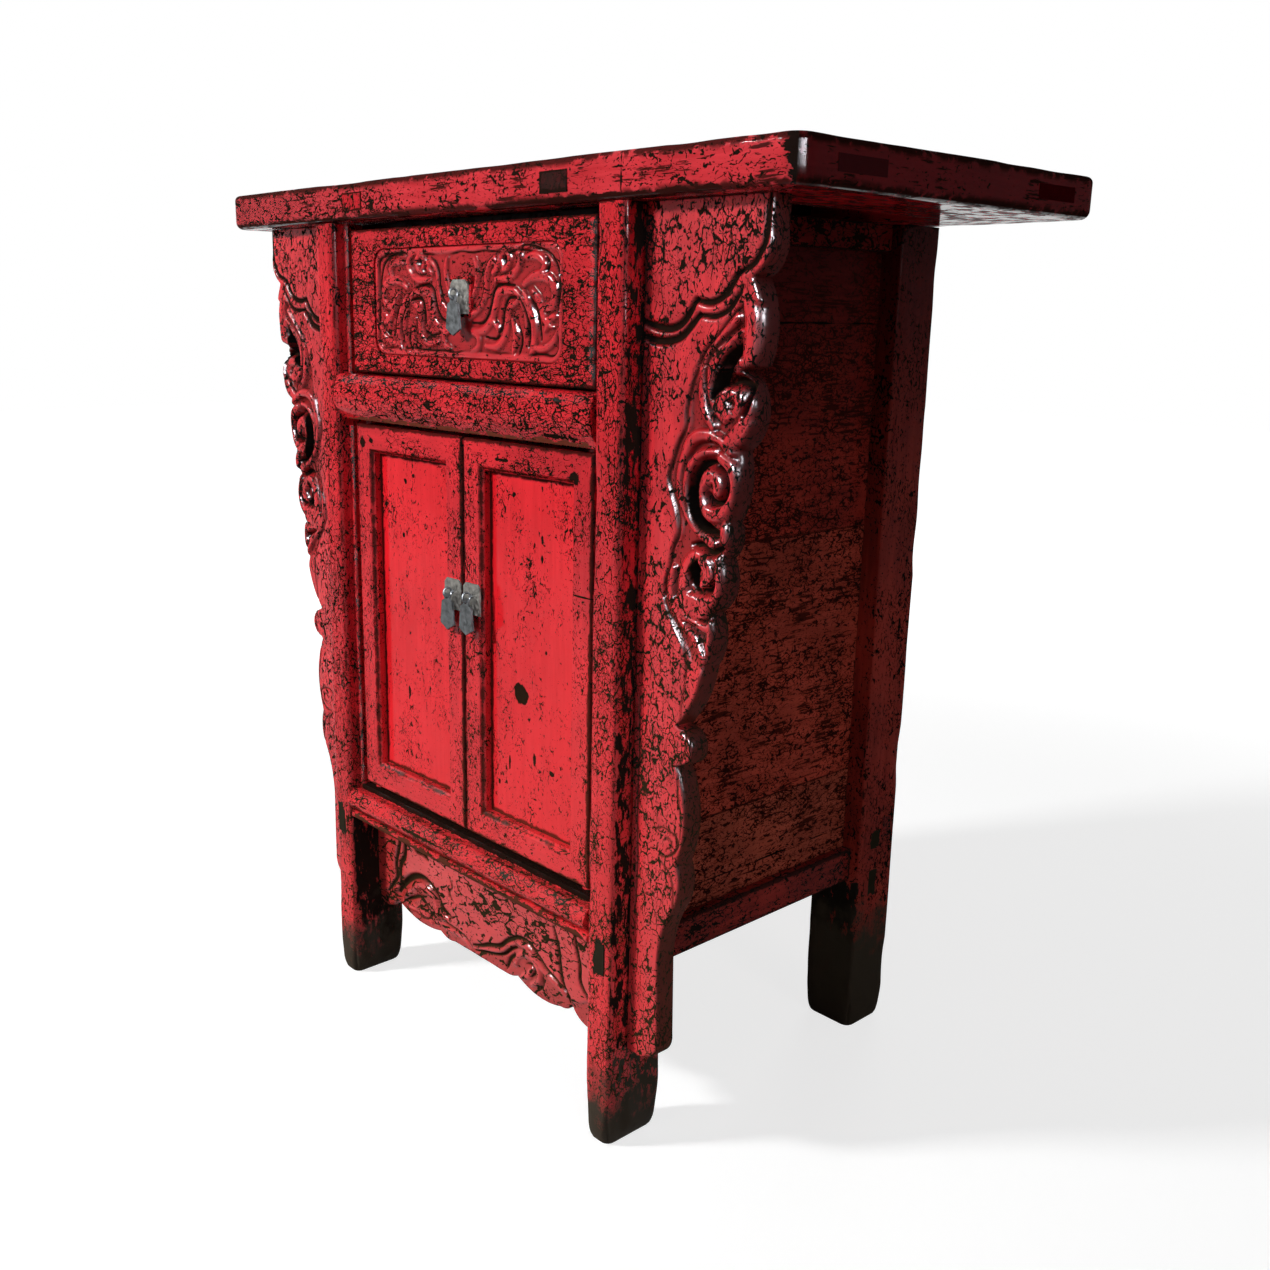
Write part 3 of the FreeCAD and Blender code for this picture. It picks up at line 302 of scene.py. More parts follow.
# Share of the painted haze: lighter pink laid over the lower front as painted light; the cracks there turn
# olive.
LOW_HAZE_AND_OLIVE_SHARE = 0.55


def along_axis(along, share):
    """A scale by a share along one axis, and by 1 across it: what it scales is drawn out along that axis."""
    return tuple(share if axis == along else 1.0 for axis in "xyz")


def past_box(here, low, high):
    """How far a place lies outside a box in millimetres: its largest excess, below zero inside."""
    middle = tuple(0.5 * (a + b) * MM for a, b in zip(low, high))
    half = tuple(0.5 * (b - a) * MM for a, b in zip(low, high))
    return most(*add_node(here.tree, "SeparateXYZ", Vector=abs(here - middle) - half).values())


def new_material(name, shift=(0.0, 0.0, 0.0)):
    """A material with its object's own coordinates, plain and shifted."""
    made = bpy.data.materials.new(name)
    made.use_nodes = True
    here = add_node(made.node_tree, "TexCoord")["Object"]
    return made, here, here + shift


def finish(made, **given):
    """Feeds a material's shader by the names of its inputs."""
    for label, one in given.items():
        feed(made.node_tree.nodes["Principled BSDF"].inputs[label.replace("_", " ")], one)
    return made


def lacquer(name, corners, reds=BRIGHT_REDS, along="z", cell=0.011, cracks=0.6, fine=0.5, grain=0.3, wear=0.5,
            wear_reach=0.006, line=0.0006, chips=0.25, chip_size=0.03, feet=0.0, shift=0.0, roughness=0.17,
            sheen=0.004, gloss=0.28, coat_rough=0.12, bumps=1.0, faded=None, dusky=None, recess=None,
            spots=(), patches=(), shiny=(), stain=CRACK_BROWN):
    """Old lacquer on wood: two tones of one colour in slow clouds, a painted haze of lighter pink low down
    where the cracks turn olive, painted shade towards one end of an axis, then ticks along the grain, crackle,
    arris wear with dark lines along the edges that are partly grime and partly painted shade, chips, round
    spots, the grime and painted shade a carved piece carries in its own attribute, ragged patches (some of
    them painted shade), places rubbed shiny, and dark feet below a height; the same masks roughen and sink it."""
    if faded is None:
        faded = LOW_HAZE_AND_OLIVE_SHARE if reds is BRIGHT_REDS else 0.0
    made, here, place = new_material(name, (shift, 1.7 * shift, 0.6 * shift))
    tree = made.node_tree
    grained = add_node(tree, "Group", GRAIN, Place=place, Stretch=along_axis(along, GRAIN_DRAWN),
                       Amount=grain)
    crackled = add_node(tree, "Group", CRACKLE, Place=place, Squeeze=along_axis(along, CRACKLE_DRAWN[along]),
                        Cell_Size=cell, Amount=cracks, Fine_Amount=fine)
    chipped = add_node(tree, "Group", CHIPS, Place=place, Size=chip_size, Amount=chips)
    arris = add_node(tree, "Group", ARRISES, Place=here, Low_Corner=tuple(corners[0]),
                     High_Corner=tuple(corners[1]), Reach=wear_reach, Amount=wear, Line=line)
    tone = noise(place, 9.0, 3.0, 0.55) * 0.55 + grained["Streaks"] * 0.45
    colour = blend(ramp(tone, 0.36, 0.64), *reds)
    axis = add_node(tree, "SeparateXYZ", Vector=here)
    # Painted light: lower down, and more to the right, the colour blends towards a lighter pink haze; the
    # cracks there turn olive, which is their own colour.
    if faded:
        low_down = ramp(axis["Z"] - axis["X"] * 0.5, 0.05, 0.55, faded, 0.0)
        colour = blend(low_down, colour, PAINTED_HAZE_PINK)
        stain = blend(low_down, stain, CRACK_OLIVE)
    # Painted shade: the colour darkens towards one end of an axis, where the piece lies in shade.
    if dusky:
        colour = blend(ramp(axis[dusky[0]], *dusky[1:]), colour, PAINTED_SHADE_MAROON)
    # The arris Line is partly grime in the joints and partly painted shade in the gaps between parts.
    marks = most(crackled["Cracks"], grained["Ticks"] * 0.9, arris["Worn"] * 0.9, arris["Line"] * 0.88,
                 chipped["Chips"])
    for x, y, z, wide, high, bend in spots:
        away = ((here - (x, y, z)) / (wide, 1.0, high)).length() + (noise(here, 160.0) - 0.5) * bend
        marks = most(marks, ramp(away, 0.9, 1.05, 1.0, 0.0))
    if recess:
        marks = most(marks, add_node(tree, "Attribute", {"attribute_name": recess})["Fac"])
    colour = blend(marks, colour, stain)
    half_drawn = along_axis(along, PATCH_DRAWN)
    for low, high, ragged, tint in patches:
        torn = (noise(place * half_drawn, 150.0, 4.0, 0.6) - 0.5) * (5.0 * ragged * MM)
        patch = ramp(past_box(here, low, high) + torn, -0.6 * MM, 0.3 * MM, 1.0, 0.0)
        colour = blend(patch, colour, tint)
        marks = most(marks, patch)
    if feet:
        rise = axis["Z"] + (noise(place, 38.0, 5.0, 0.65) - 0.5) * 0.13
        soil = ramp(rise, feet - 0.035, feet + 0.03, 1.0, 0.0)
        soil = soil * ramp(noise(place, 75.0, 4.0, 0.7), 0.68, 0.74, 1.0, 0.55)
        colour = blend(soil, colour, OLD_DIRT)
        marks = most(marks, soil * 0.7)
    coat = (1.0 - marks).clamped() * gloss
    for low, high, share in shiny:
        broken = ramp(noise(place * half_drawn, 130.0, 3.0), 0.42, 0.56, 0.15 * share, share)
        coat = most(coat, broken * ramp(past_box(here, low, high), 0.0, 0.8 * MM, 1.0, 0.0))
    rubbed = (noise(place, 60.0, 3.0) - 0.5) * 0.12
    sunk = marks * -0.45 + crackled["Curl"] * 0.22
    height = sunk + (grained["Waves"] * 0.55 + noise(place, 30.0, 3.0) * 0.9)
    return finish(made, Base_Color=colour, Roughness=(roughness + rubbed + marks * 0.70).clamped(),
                  Coat_Weight=coat, Coat_Roughness=coat_rough, Specular_IOR_Level=sheen,
                  Normal=bump(height, bumps * MM))


def metal(name, light, dark, shift=0.0):
    """Old pewter grey metal: a lighter and a darker grey in small clouds, pitted, rubbed bright in places."""
    made, _, place = new_material(name, (shift, shift, shift))
    clouds = ramp(noise(place, 140.0, 5.0, 0.65), 0.42, 0.70)
    return finish(made, Base_Color=blend(clouds, light, dark),
                  Metallic=0.85, Roughness=ramp(noise(place, 260.0, 3.0), 0.3, 0.7, 0.34, 0.58),
                  Normal=bump(noise(place, 320.0, 4.0, 0.6), 0.3 * MM))


def bare_wood(name, along, shift=0.0):
    """Unfinished old softwood: brown streaks along the grain, a few dark ticks, dust grey in slow clouds."""
    made, _, place = new_material(name, (shift, shift, shift))
    grained = add_node(place.tree, "Group", GRAIN, Place=place, Stretch=along_axis(along, GRAIN_DRAWN),
                       Fineness=120.0, Amount=0.45)
    colour = blend(ramp(grained["Streaks"], 0.35, 0.65), RAW_WOOD, RAW_WOOD_DARK)
    colour = blend(ramp(noise(place, 8.0, 3.0), 0.45, 0.75, 0.0, 0.5), colour, WOOD_DUST)
    return finish(made, Base_Color=blend(grained["Ticks"], colour, CRACK_BROWN),
                  Roughness=ramp(grained["Streaks"], 0.3, 0.7, 0.62, 0.82), Specular_IOR_Level=0.06,
                  Normal=bump(grained["Streaks"], 0.4 * MM, 0.8))


# Finishes of the frame's own nodes. Boxes of patches and shiny places are in millimetres.

def finish_node(name, material):
    """Gives a CAD node's object one material."""
    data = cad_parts[name].data
    data.materials.clear()
    data.materials.append(material)


def lacquered(name, shift, corners=None, **given):
    """A CAD node in lacquer of its own."""
    finish_node(name, lacquer(name + " lacquer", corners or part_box(name), shift=shift, **given))


def flecks(name, *given):
    """Bare spots on a node's front face, each in millimetres: x, z, half width, half height, raggedness."""
    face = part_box(name)[0].y
    return [(x * MM, face, z * MM, wide * MM, high * MM, bend) for x, z, wide, high, bend in given]


DOOR_SPOTS = {
    "door_right_panel": ((75, 395, 11, 10, 0.9), (105, 545, 2.2, 4.2, 2), (105, 527, 1.8, 3.4, 2),
                         (58, 325, 1.4, 7.5, 1.6), (95, 335, 2.0, 5.5, 2), (120, 328, 3.4, 2.8, 2),
                         (65, 580, 3.2, 2.6, 2.5), (42, 300, 1.4, 2.4, 2)),
    "door_left_panel": ((-110, 575, 3.2, 2.8, 2.5), (-96, 582, 2.4, 2.2, 2), (-115, 520, 2.2, 2.2, 2),
                        (-110, 355, 2.0, 7.0, 2)),
    "door_right_hinge_stile": ((160, 606, 6.0, 5.5, 1.6), (170, 505, 15.0, 0.9, 0.8)),
    "door_right_top_rail": ((158, 606, 7.0, 4.5, 1.6), (60, 612, 9.0, 1.6, 2)),
    "door_left_top_rail": ((-155, 612, 4.0, 3.0, 2),),
    "door_left_hinge_stile": ((-170, 610, 5.0, 7.0, 2),)}
BOARD_SEAMS = [((-230.0, -210.0, seam), (230.0, 210.0, seam + 1.4), 0.8, SEAM_BLACK)
               for seam in (227.5, 734.5)]
SIDE_TENONS = [((hand * 216.0 - 16.0, -199.0, 160.0), (hand * 216.0 + 16.0, -188.0, 215.0), 0.5, BARE_OLIVE)
               for hand in (-1.0, 1.0)]
BATTEN_LINE = ((-200.0, -206.0, 833.0), (200.0, -195.0, 836.0), 1.5, CRACK_BROWN)
DOOR_RAIL_SHINE = ((-190.0, -190.0, 262.0), (190.0, -160.0, 267.0), 0.9)
# Painted shade: the side boards darken towards the top, in the shade of the top's overhang.
UPPER_PAINTED_SHADE = ("Z", 0.44, 0.80, 0.0, 0.90)

for side, shift, batten, batten_marks in (("left", 3.1, RED_BATTEN_REDS, ()),
                                          ("right", 6.2, DARK_BATTEN_REDS, [BATTEN_LINE])):
    lacquered("side_bottom_rail_" + side, shift + 2.1, along="y", reds=SIDE_RAIL_REDS, cell=0.007, grain=0.6,
              line=0.0030, gloss=0.05, patches=SIDE_TENONS)
    lacquered("side_top_rail_" + side, shift + 2.3, along="y", reds=DARK_RAIL_REDS, grain=0.5, gloss=0.0)
    lacquered("top_batten_" + side, shift + 2.6, along="y", reds=batten, grain=0.7, line=0.0016, gloss=0.15,
              patches=batten_marks)
    for number, (part, reds) in enumerate(SIDE_BOARD_REDS.items()):
        lacquered("side_board_%s_%s" % (part, side), shift + 0.31 * number, along="y", reds=reds,
                  dusky=UPPER_PAINTED_SHADE, patches=BOARD_SEAMS, cell=0.008, cracks=0.62, fine=0.6, grain=0.80,
                  gloss=0.02, roughness=0.3, sheen=0.0, stain=CRACK_RED)
    door = "door_" + side + "_"
    for part in ("hinge_stile", "meeting_stile", "top_rail", "bottom_rail"):
        lacquered(door + part, shift + 0.47, along="x" if "rail" in part else "z", cell=0.0065, cracks=0.42,
                  fine=0.4, grain=0.35, wear=0.7, line=0.0030,
                  spots=flecks("door_right_hinge_stile", *DOOR_SPOTS.get(door + part, ())),
                  shiny=[DOOR_RAIL_SHINE] if part == "bottom_rail" else ())
    # The panel's arris lines run round the frame's opening: a dark outline that is partly grime and partly
    # painted shade where the frame shades the sunk panel.
    stile, meeting, head, rail, panel = (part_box(door + part) for part in (
        "hinge_stile", "meeting_stile", "top_rail", "bottom_rail", "panel"))
    frame_wide = rail[1].z - rail[0].z
    opening = ((min(stile[0].x, meeting[0].x) + frame_wide, panel[0].y, rail[1].z),
               (max(stile[1].x, meeting[1].x) - frame_wide, panel[1].y, head[0].z))
    # The door panels carry a share of the painted pink haze low down.
    lacquered(door + "panel", shift + 0.9, corners=opening, reds=DOOR_PANEL_REDS, faded=0.45, cell=0.007,
              cracks=0.20, fine=0.14, grain=0.42, chips=0.12, bumps=0.6, line=0.0036,
              spots=flecks("door_right_panel", *DOOR_SPOTS[door + "panel"]))

lacquered("top_panel", 12.9, along="x", reds=TOP_PANEL_REDS, cell=0.016, cracks=0.4, grain=0.6, sheen=0.01,
          gloss=0.16)
lacquered("mid_rail", 13.3, along="x", line=0.0020, cell=0.0065, cracks=0.8, fine=0.75, grain=0.45, wear=0.7,
          spots=flecks("mid_rail", (-30, 655, 4.0, 3.0, 1.6), (-26, 668, 1.6, 5.0, 1.6),
                       (150, 640, 22.0, 2.0, 3)),
          patches=[((-184.0, -210.0, 630.0), (184.0, -180.0, 636.0), 5.0, RUST_BAND)],
          shiny=[((-184.0, -210.0, 670.0), (184.0, -176.0, 679.0), 0.5)])
lacquered("bottom_rail", 14.2, along="x", line=0.0020, cell=0.007, cracks=0.7, fine=0.6, grain=0.4, wear=0.7,
          spots=flecks("bottom_rail", (128, 207, 8.0, 3.0, 1.6), (-60, 216, 40.0, 1.6, 3),
                       (60, 198, 30.0, 1.6, 3)),
          # The first patch is painted shade: the sill's top under the doors is painted near black, where it
          # lies in the recess's shade.
          patches=[((-190.0, -200.0, 227.5), (190.0, -150.0, 240.0), 1.2, CRACK_BROWN),
                   ((-190.0, -210.0, 190.0), (190.0, -150.0, 200.0), 4.5, SILL_BAND)],
          shiny=[((-190.0, -210.0, 218.0), (190.0, -176.0, 236.0), 0.45)])
lacquered("drawer_front", 16.9, along="x", line=0.0022, cell=0.0068, cracks=0.85, fine=0.8, grain=0.50,
          wear=0.7, shiny=[((176.0, -190.0, 684.0), (184.0, -160.0, 815.0), 0.8)])
lacquered("front_top_rail", 18.4, along="x", reds=SHADED_RAIL_REDS, gloss=0.05)
lacquered("back_top_rail", 18.1, along="x", reds=BACK_RAIL_REDS, grain=0.7, gloss=0.03)
lacquered("back_bottom_rail", 18.8, along="x", reds=BACK_RAIL_REDS, grain=0.7, gloss=0.03)
for part, shift in (("upper", 19.1), ("lower", 19.6)):
    lacquered("back_board_" + part, shift, along="x", reds=BACK_BOARD_REDS, cracks=0.45, grain=0.72,
              gloss=0.02)

for number, (name, along) in enumerate((
        ("cupboard_floor", "x"), ("drawer_runner_left", "y"), ("drawer_runner_right", "y"),
        ("drawer_side_left", "y"), ("drawer_side_right", "y"), ("drawer_back", "x"), ("drawer_bottom", "x"))):
    finish_node(name, bare_wood(name + " wood", along, 1.3 * number))

plate_metal = metal("pull plate metal", PEWTER, PEWTER_DARK)
hanging_metal = metal("pull pendant metal", SLATE, SLATE_DARK, 0.7)
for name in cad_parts:
    if "_pull_" in name:
        finish_node(name, plate_metal if "plate" in name else hanging_metal)


# Carved pieces: a height over a grid, shaped by strokes

def ridge(wide, level, taper, *points):
    """A stroke that stands up: its half width, its crown's level, the share it tapers by and its line."""
    return "ridge", wide, level, 0.0, taper, points


def groove(wide, deep, soil, taper, *points):
    """A stroke cut in: its half width, depth, share of dark fill, the share it tapers by and its line. The
    fill is grime, and in the bracket's deep eyes partly painted shade.
    """
    return "groove", wide, deep, soil, taper, points


def smooth_line(points, steps=10):
    """A Catmull-Rom line through given points, as many short steps."""
    ends = np.array([points[0], *points, points[-1]], float)
    share = np.linspace(0.0, 1.0, steps, endpoint=False)[:, None]
    before, start, end, after = ends[:-3, None], ends[1:-2, None], ends[2:-1, None], ends[3:, None]
    line = 0.5 * (2 * start + (end - before) * share + (2 * before - 5 * start + 4 * end - after) * share ** 2
                  + (3 * start - before - 3 * end + after) * share ** 3)
    return np.vstack([line.reshape(-1, 2), ends[-1:]])


def reach_from(line, x, z):
    """Each place's distance from a line and its share along it, at the nearest of the line's short steps."""
    best = np.full(x.shape, 1e9)
    along = np.zeros(x.shape)
    for number in range(len(line) - 1):
        (x0, z0), (x1, z1) = line[number], line[number + 1]
        long = max((x1 - x0) ** 2 + (z1 - z0) ** 2, 1e-9)
        share = np.clip(((x - x0) * (x1 - x0) + (z - z0) * (z1 - z0)) / long, 0.0, 1.0)
        away = np.hypot(x - x0 - share * (x1 - x0), z - z0 - share * (z1 - z0))
        nearer = away < best
        best = np.where(nearer, away, best)
        along = np.where(nearer, (number + share) / (len(line) - 1), along)
    return best, along


def soft_step(given, low, high):
    """0 below low, 1 above high, an S curve between them."""
    share = np.clip((given - low) / (high - low), 0.0, 1.0)
    return share * share * (3.0 - 2.0 * share)


def carve(x, z, height, dirt, strokes):
    """Works strokes into a height, in millimetres. A ridge is a half round of a half width whose crown is at
    a level; a groove takes its depth off, deepest in its middle; both taper at their ends. Dirt fills
    grooves."""
    for kind, wide, level, soil, taper, points in strokes:
        line = smooth_line(points)
        near = ((x > line[:, 0].min() - wide) & (x < line[:, 0].max() + wide)
                & (z > line[:, 1].min() - wide) & (z < line[:, 1].max() + wide))
        away, along = reach_from(line, x[near], z[near])
        ends = np.minimum(along, 1.0 - along)
        width = wide * (1.0 - taper + taper * soft_step(ends, 0.0, 0.25))
        across = np.clip(away / width, 0.0, 1.0)
        if kind == "ridge":
            crown = level - 0.75 * width * rounding(across)
            height[near] = np.where(across < 1.0, np.maximum(height[near], crown), height[near])
            dirt[near] *= soft_step(across, 0.55, 1.0)
        else:
            height[near] -= level * (1.0 - across ** 2) ** 1.3
            dirt[near] = np.maximum(dirt[near], soil * (1.0 - soft_step(across, 0.45, 1.0)))
    return height, dirt


def soften(height, passes=1):
    """The mean of each place and its neighbours, as a rasp and years of hands leave it."""
    for _ in range(passes):
        wide = np.pad(height, 1, mode="edge")
        height = (wide[:-2, 1:-1] + wide[2:, 1:-1] + wide[1:-1, :-2] + wide[1:-1, 2:] + 4.0 * height) / 8.0
    return height


def rounding(edge):
    """How far a quarter round drops, for a share that rises from 0 inward to 1 at the edge."""
    return 1.0 - np.sqrt(1.0 - edge ** 2)


def hollows(height, reach=7):
    """How far each place lies below its surroundings: grime stays there."""
    return np.clip((soften(height, 6 * reach) - height) / 1.6, 0.0, 1.0)


def hand_waves(x, z, size, seed):
    """Slow unevenness of hand work: three crossed sine waves of unlike lengths, between -size and size."""
    turns = np.random.default_rng(int(seed)).uniform(0.0, 6.28, 6)
    return size / 3.0 * (np.sin(x / 7.3 + turns[0]) * np.sin(z / 11.9 + turns[1])
                         + np.sin(x / 17.1 + turns[2] + z / 23.0) + np.sin(z / 31.7 + turns[3] - x / 41.0)
                         * np.sin(x / 5.1 + turns[4]))


def new_piece(name, places, faces, body, slot, material, sharp=48.0, **given):
    """A mesh object from places and faces, smooth but for sharp edges, with point attributes, on a body."""
    data = bpy.data.meshes.new(name)
    data.from_pydata(places.tolist(), [], faces.tolist() if hasattr(faces, "tolist") else faces)
    data.polygons.foreach_set("use_smooth", np.ones(len(data.polygons), bool))
    data.set_sharp_from_angle(angle=math.radians(sharp))
    for label, values in given.items():
        layer = data.attributes.new(label, "FLOAT", "POINT").data
        layer.foreach_set("value", np.asarray(values, float).ravel())
    data.materials.append(material)
    data.update()
    piece = bpy.data.objects.new(name, data)
    bpy.context.collection.objects.link(piece)
    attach(piece, body)
    return piece


# A grid cell's four corners in their order round it: low left, low right, high right, high left

CELL_CORNERS = ((slice(None, -1), slice(None, -1)), (slice(None, -1), slice(1, None)),
                (slice(1, None), slice(1, None)), (slice(1, None), slice(None, -1)))


def slab_of_grid(x, front, z, back, kept=None):
    """A closed board from a grid: front faces at each place's own depth, flat back faces, and a wall wherever
    a kept cell meets a missing one or the rim. Rows rise with z and columns with x. Returns places, faces
    and which of the grid's places, near and then far, are used."""
    rows, columns = x.shape
    if kept is None:
        kept = np.ones((rows - 1, columns - 1), bool)
    number = np.arange(rows * columns).reshape(rows, columns)
    near = [number[corner] for corner in CELL_CORNERS]
    far = [one + rows * columns for one in near]
    places = np.vstack([np.stack([x, front, z], -1).reshape(-1, 3),
                        np.stack([x, np.full_like(x, back), z], -1).reshape(-1, 3)])
    rim = np.pad(kept, 1)
    no_cell = np.zeros(kept.shape, bool)
    faces = np.vstack([np.stack([grid[kept & ~hidden] for grid in corners], -1) for hidden, corners in (
        (no_cell, near),
        (no_cell, (far[0], far[3], far[2], far[1])),
        (rim[1:-1, 2:], (near[1], far[1], far[2], near[2])),
        (rim[1:-1, :-2], (far[0], near[0], near[3], far[3])),
        (rim[2:, 1:-1], (near[3], near[2], far[2], far[3])),
        (rim[:-2, 1:-1], (far[0], far[1], near[1], near[0])))])
    used = np.zeros(len(places), bool)
    used[faces.ravel()] = True
    renumber = np.cumsum(used) - 1
    return places[used], renumber[faces], used


def edges_of_node(node):
    """All triangle sides of a CAD node, as two arrays of ends in millimetres."""
    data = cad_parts[node].data
    data.calc_loop_triangles()
    places = np.empty(3 * len(data.vertices))
    data.vertices.foreach_get("co", places)
    places = places.reshape(-1, 3) / MM
    corners = np.empty(3 * len(data.loop_triangles), int)
    data.loop_triangles.foreach_get("vertices", corners)
    corners = corners.reshape(-1, 3)
    pairs = np.vstack([corners[:, [0, 1]], corners[:, [1, 2]], corners[:, [2, 0]]])
    return places[pairs[:, 0]], places[pairs[:, 1]]


def silhouette(node, levels, level_axis, reach_axis, side):
    """How far a node reaches along one axis at each level of another: its sides cut by each level."""
    one, two = edges_of_node(node)
    a, b = one[:, level_axis], two[:, level_axis]
    steps = np.asarray(levels)[:, None]
    crossed = (np.minimum(a, b) <= steps) & (np.maximum(a, b) >= steps)
    share = np.clip((steps - a) / np.where(np.abs(b - a) < 1e-9, 1.0, b - a), 0.0, 1.0)
    reach = one[:, reach_axis] + share * (two[:, reach_axis] - one[:, reach_axis])
    return side * np.where(crossed, side * reach, -1e9).max(axis=1)


def circle_through(first, middle, last):
    """Centre and radius of the circle through three points."""
    (ax, ay), (bx, by), (cx, cy) = first, middle, last
    turn = 2.0 * (ax * (by - cy) + bx * (cy - ay) + cx * (ay - by))
    a, b, c = ax * ax + ay * ay, bx * bx + by * by, cx * cx + cy * cy
    x = (a * (by - cy) + b * (cy - ay) + c * (ay - by)) / turn
    y = (a * (cx - bx) + b * (ax - cx) + c * (bx - ax)) / turn
    return x, y, math.hypot(ax - x, ay - y)


def crescent(x, z, tip, outer, end, inner):
    """Below zero inside a crescent: inside the circle through tip, outer and end, and outside the one through
    tip, inner and end, or inside both where inner lies across the chord, which makes a lens."""
    ox, oz, outer_radius = circle_through(tip, outer, end)
    ix, iz, inner_radius = circle_through(tip, inner, end)
    sides = [(end[0] - tip[0]) * (one[1] - tip[1]) - (end[1] - tip[1]) * (one[0] - tip[0])
             for one in (outer, inner)]
    hand = -1.0 if sides[0] * sides[1] > 0.0 else 1.0
    return np.maximum(np.hypot(x - ox, z - oz) - outer_radius,
                      hand * (np.hypot(x - ix, z - iz) - inner_radius))


# The brackets, drawn for the right one in millimetres from the middle of the cabinet and the floor

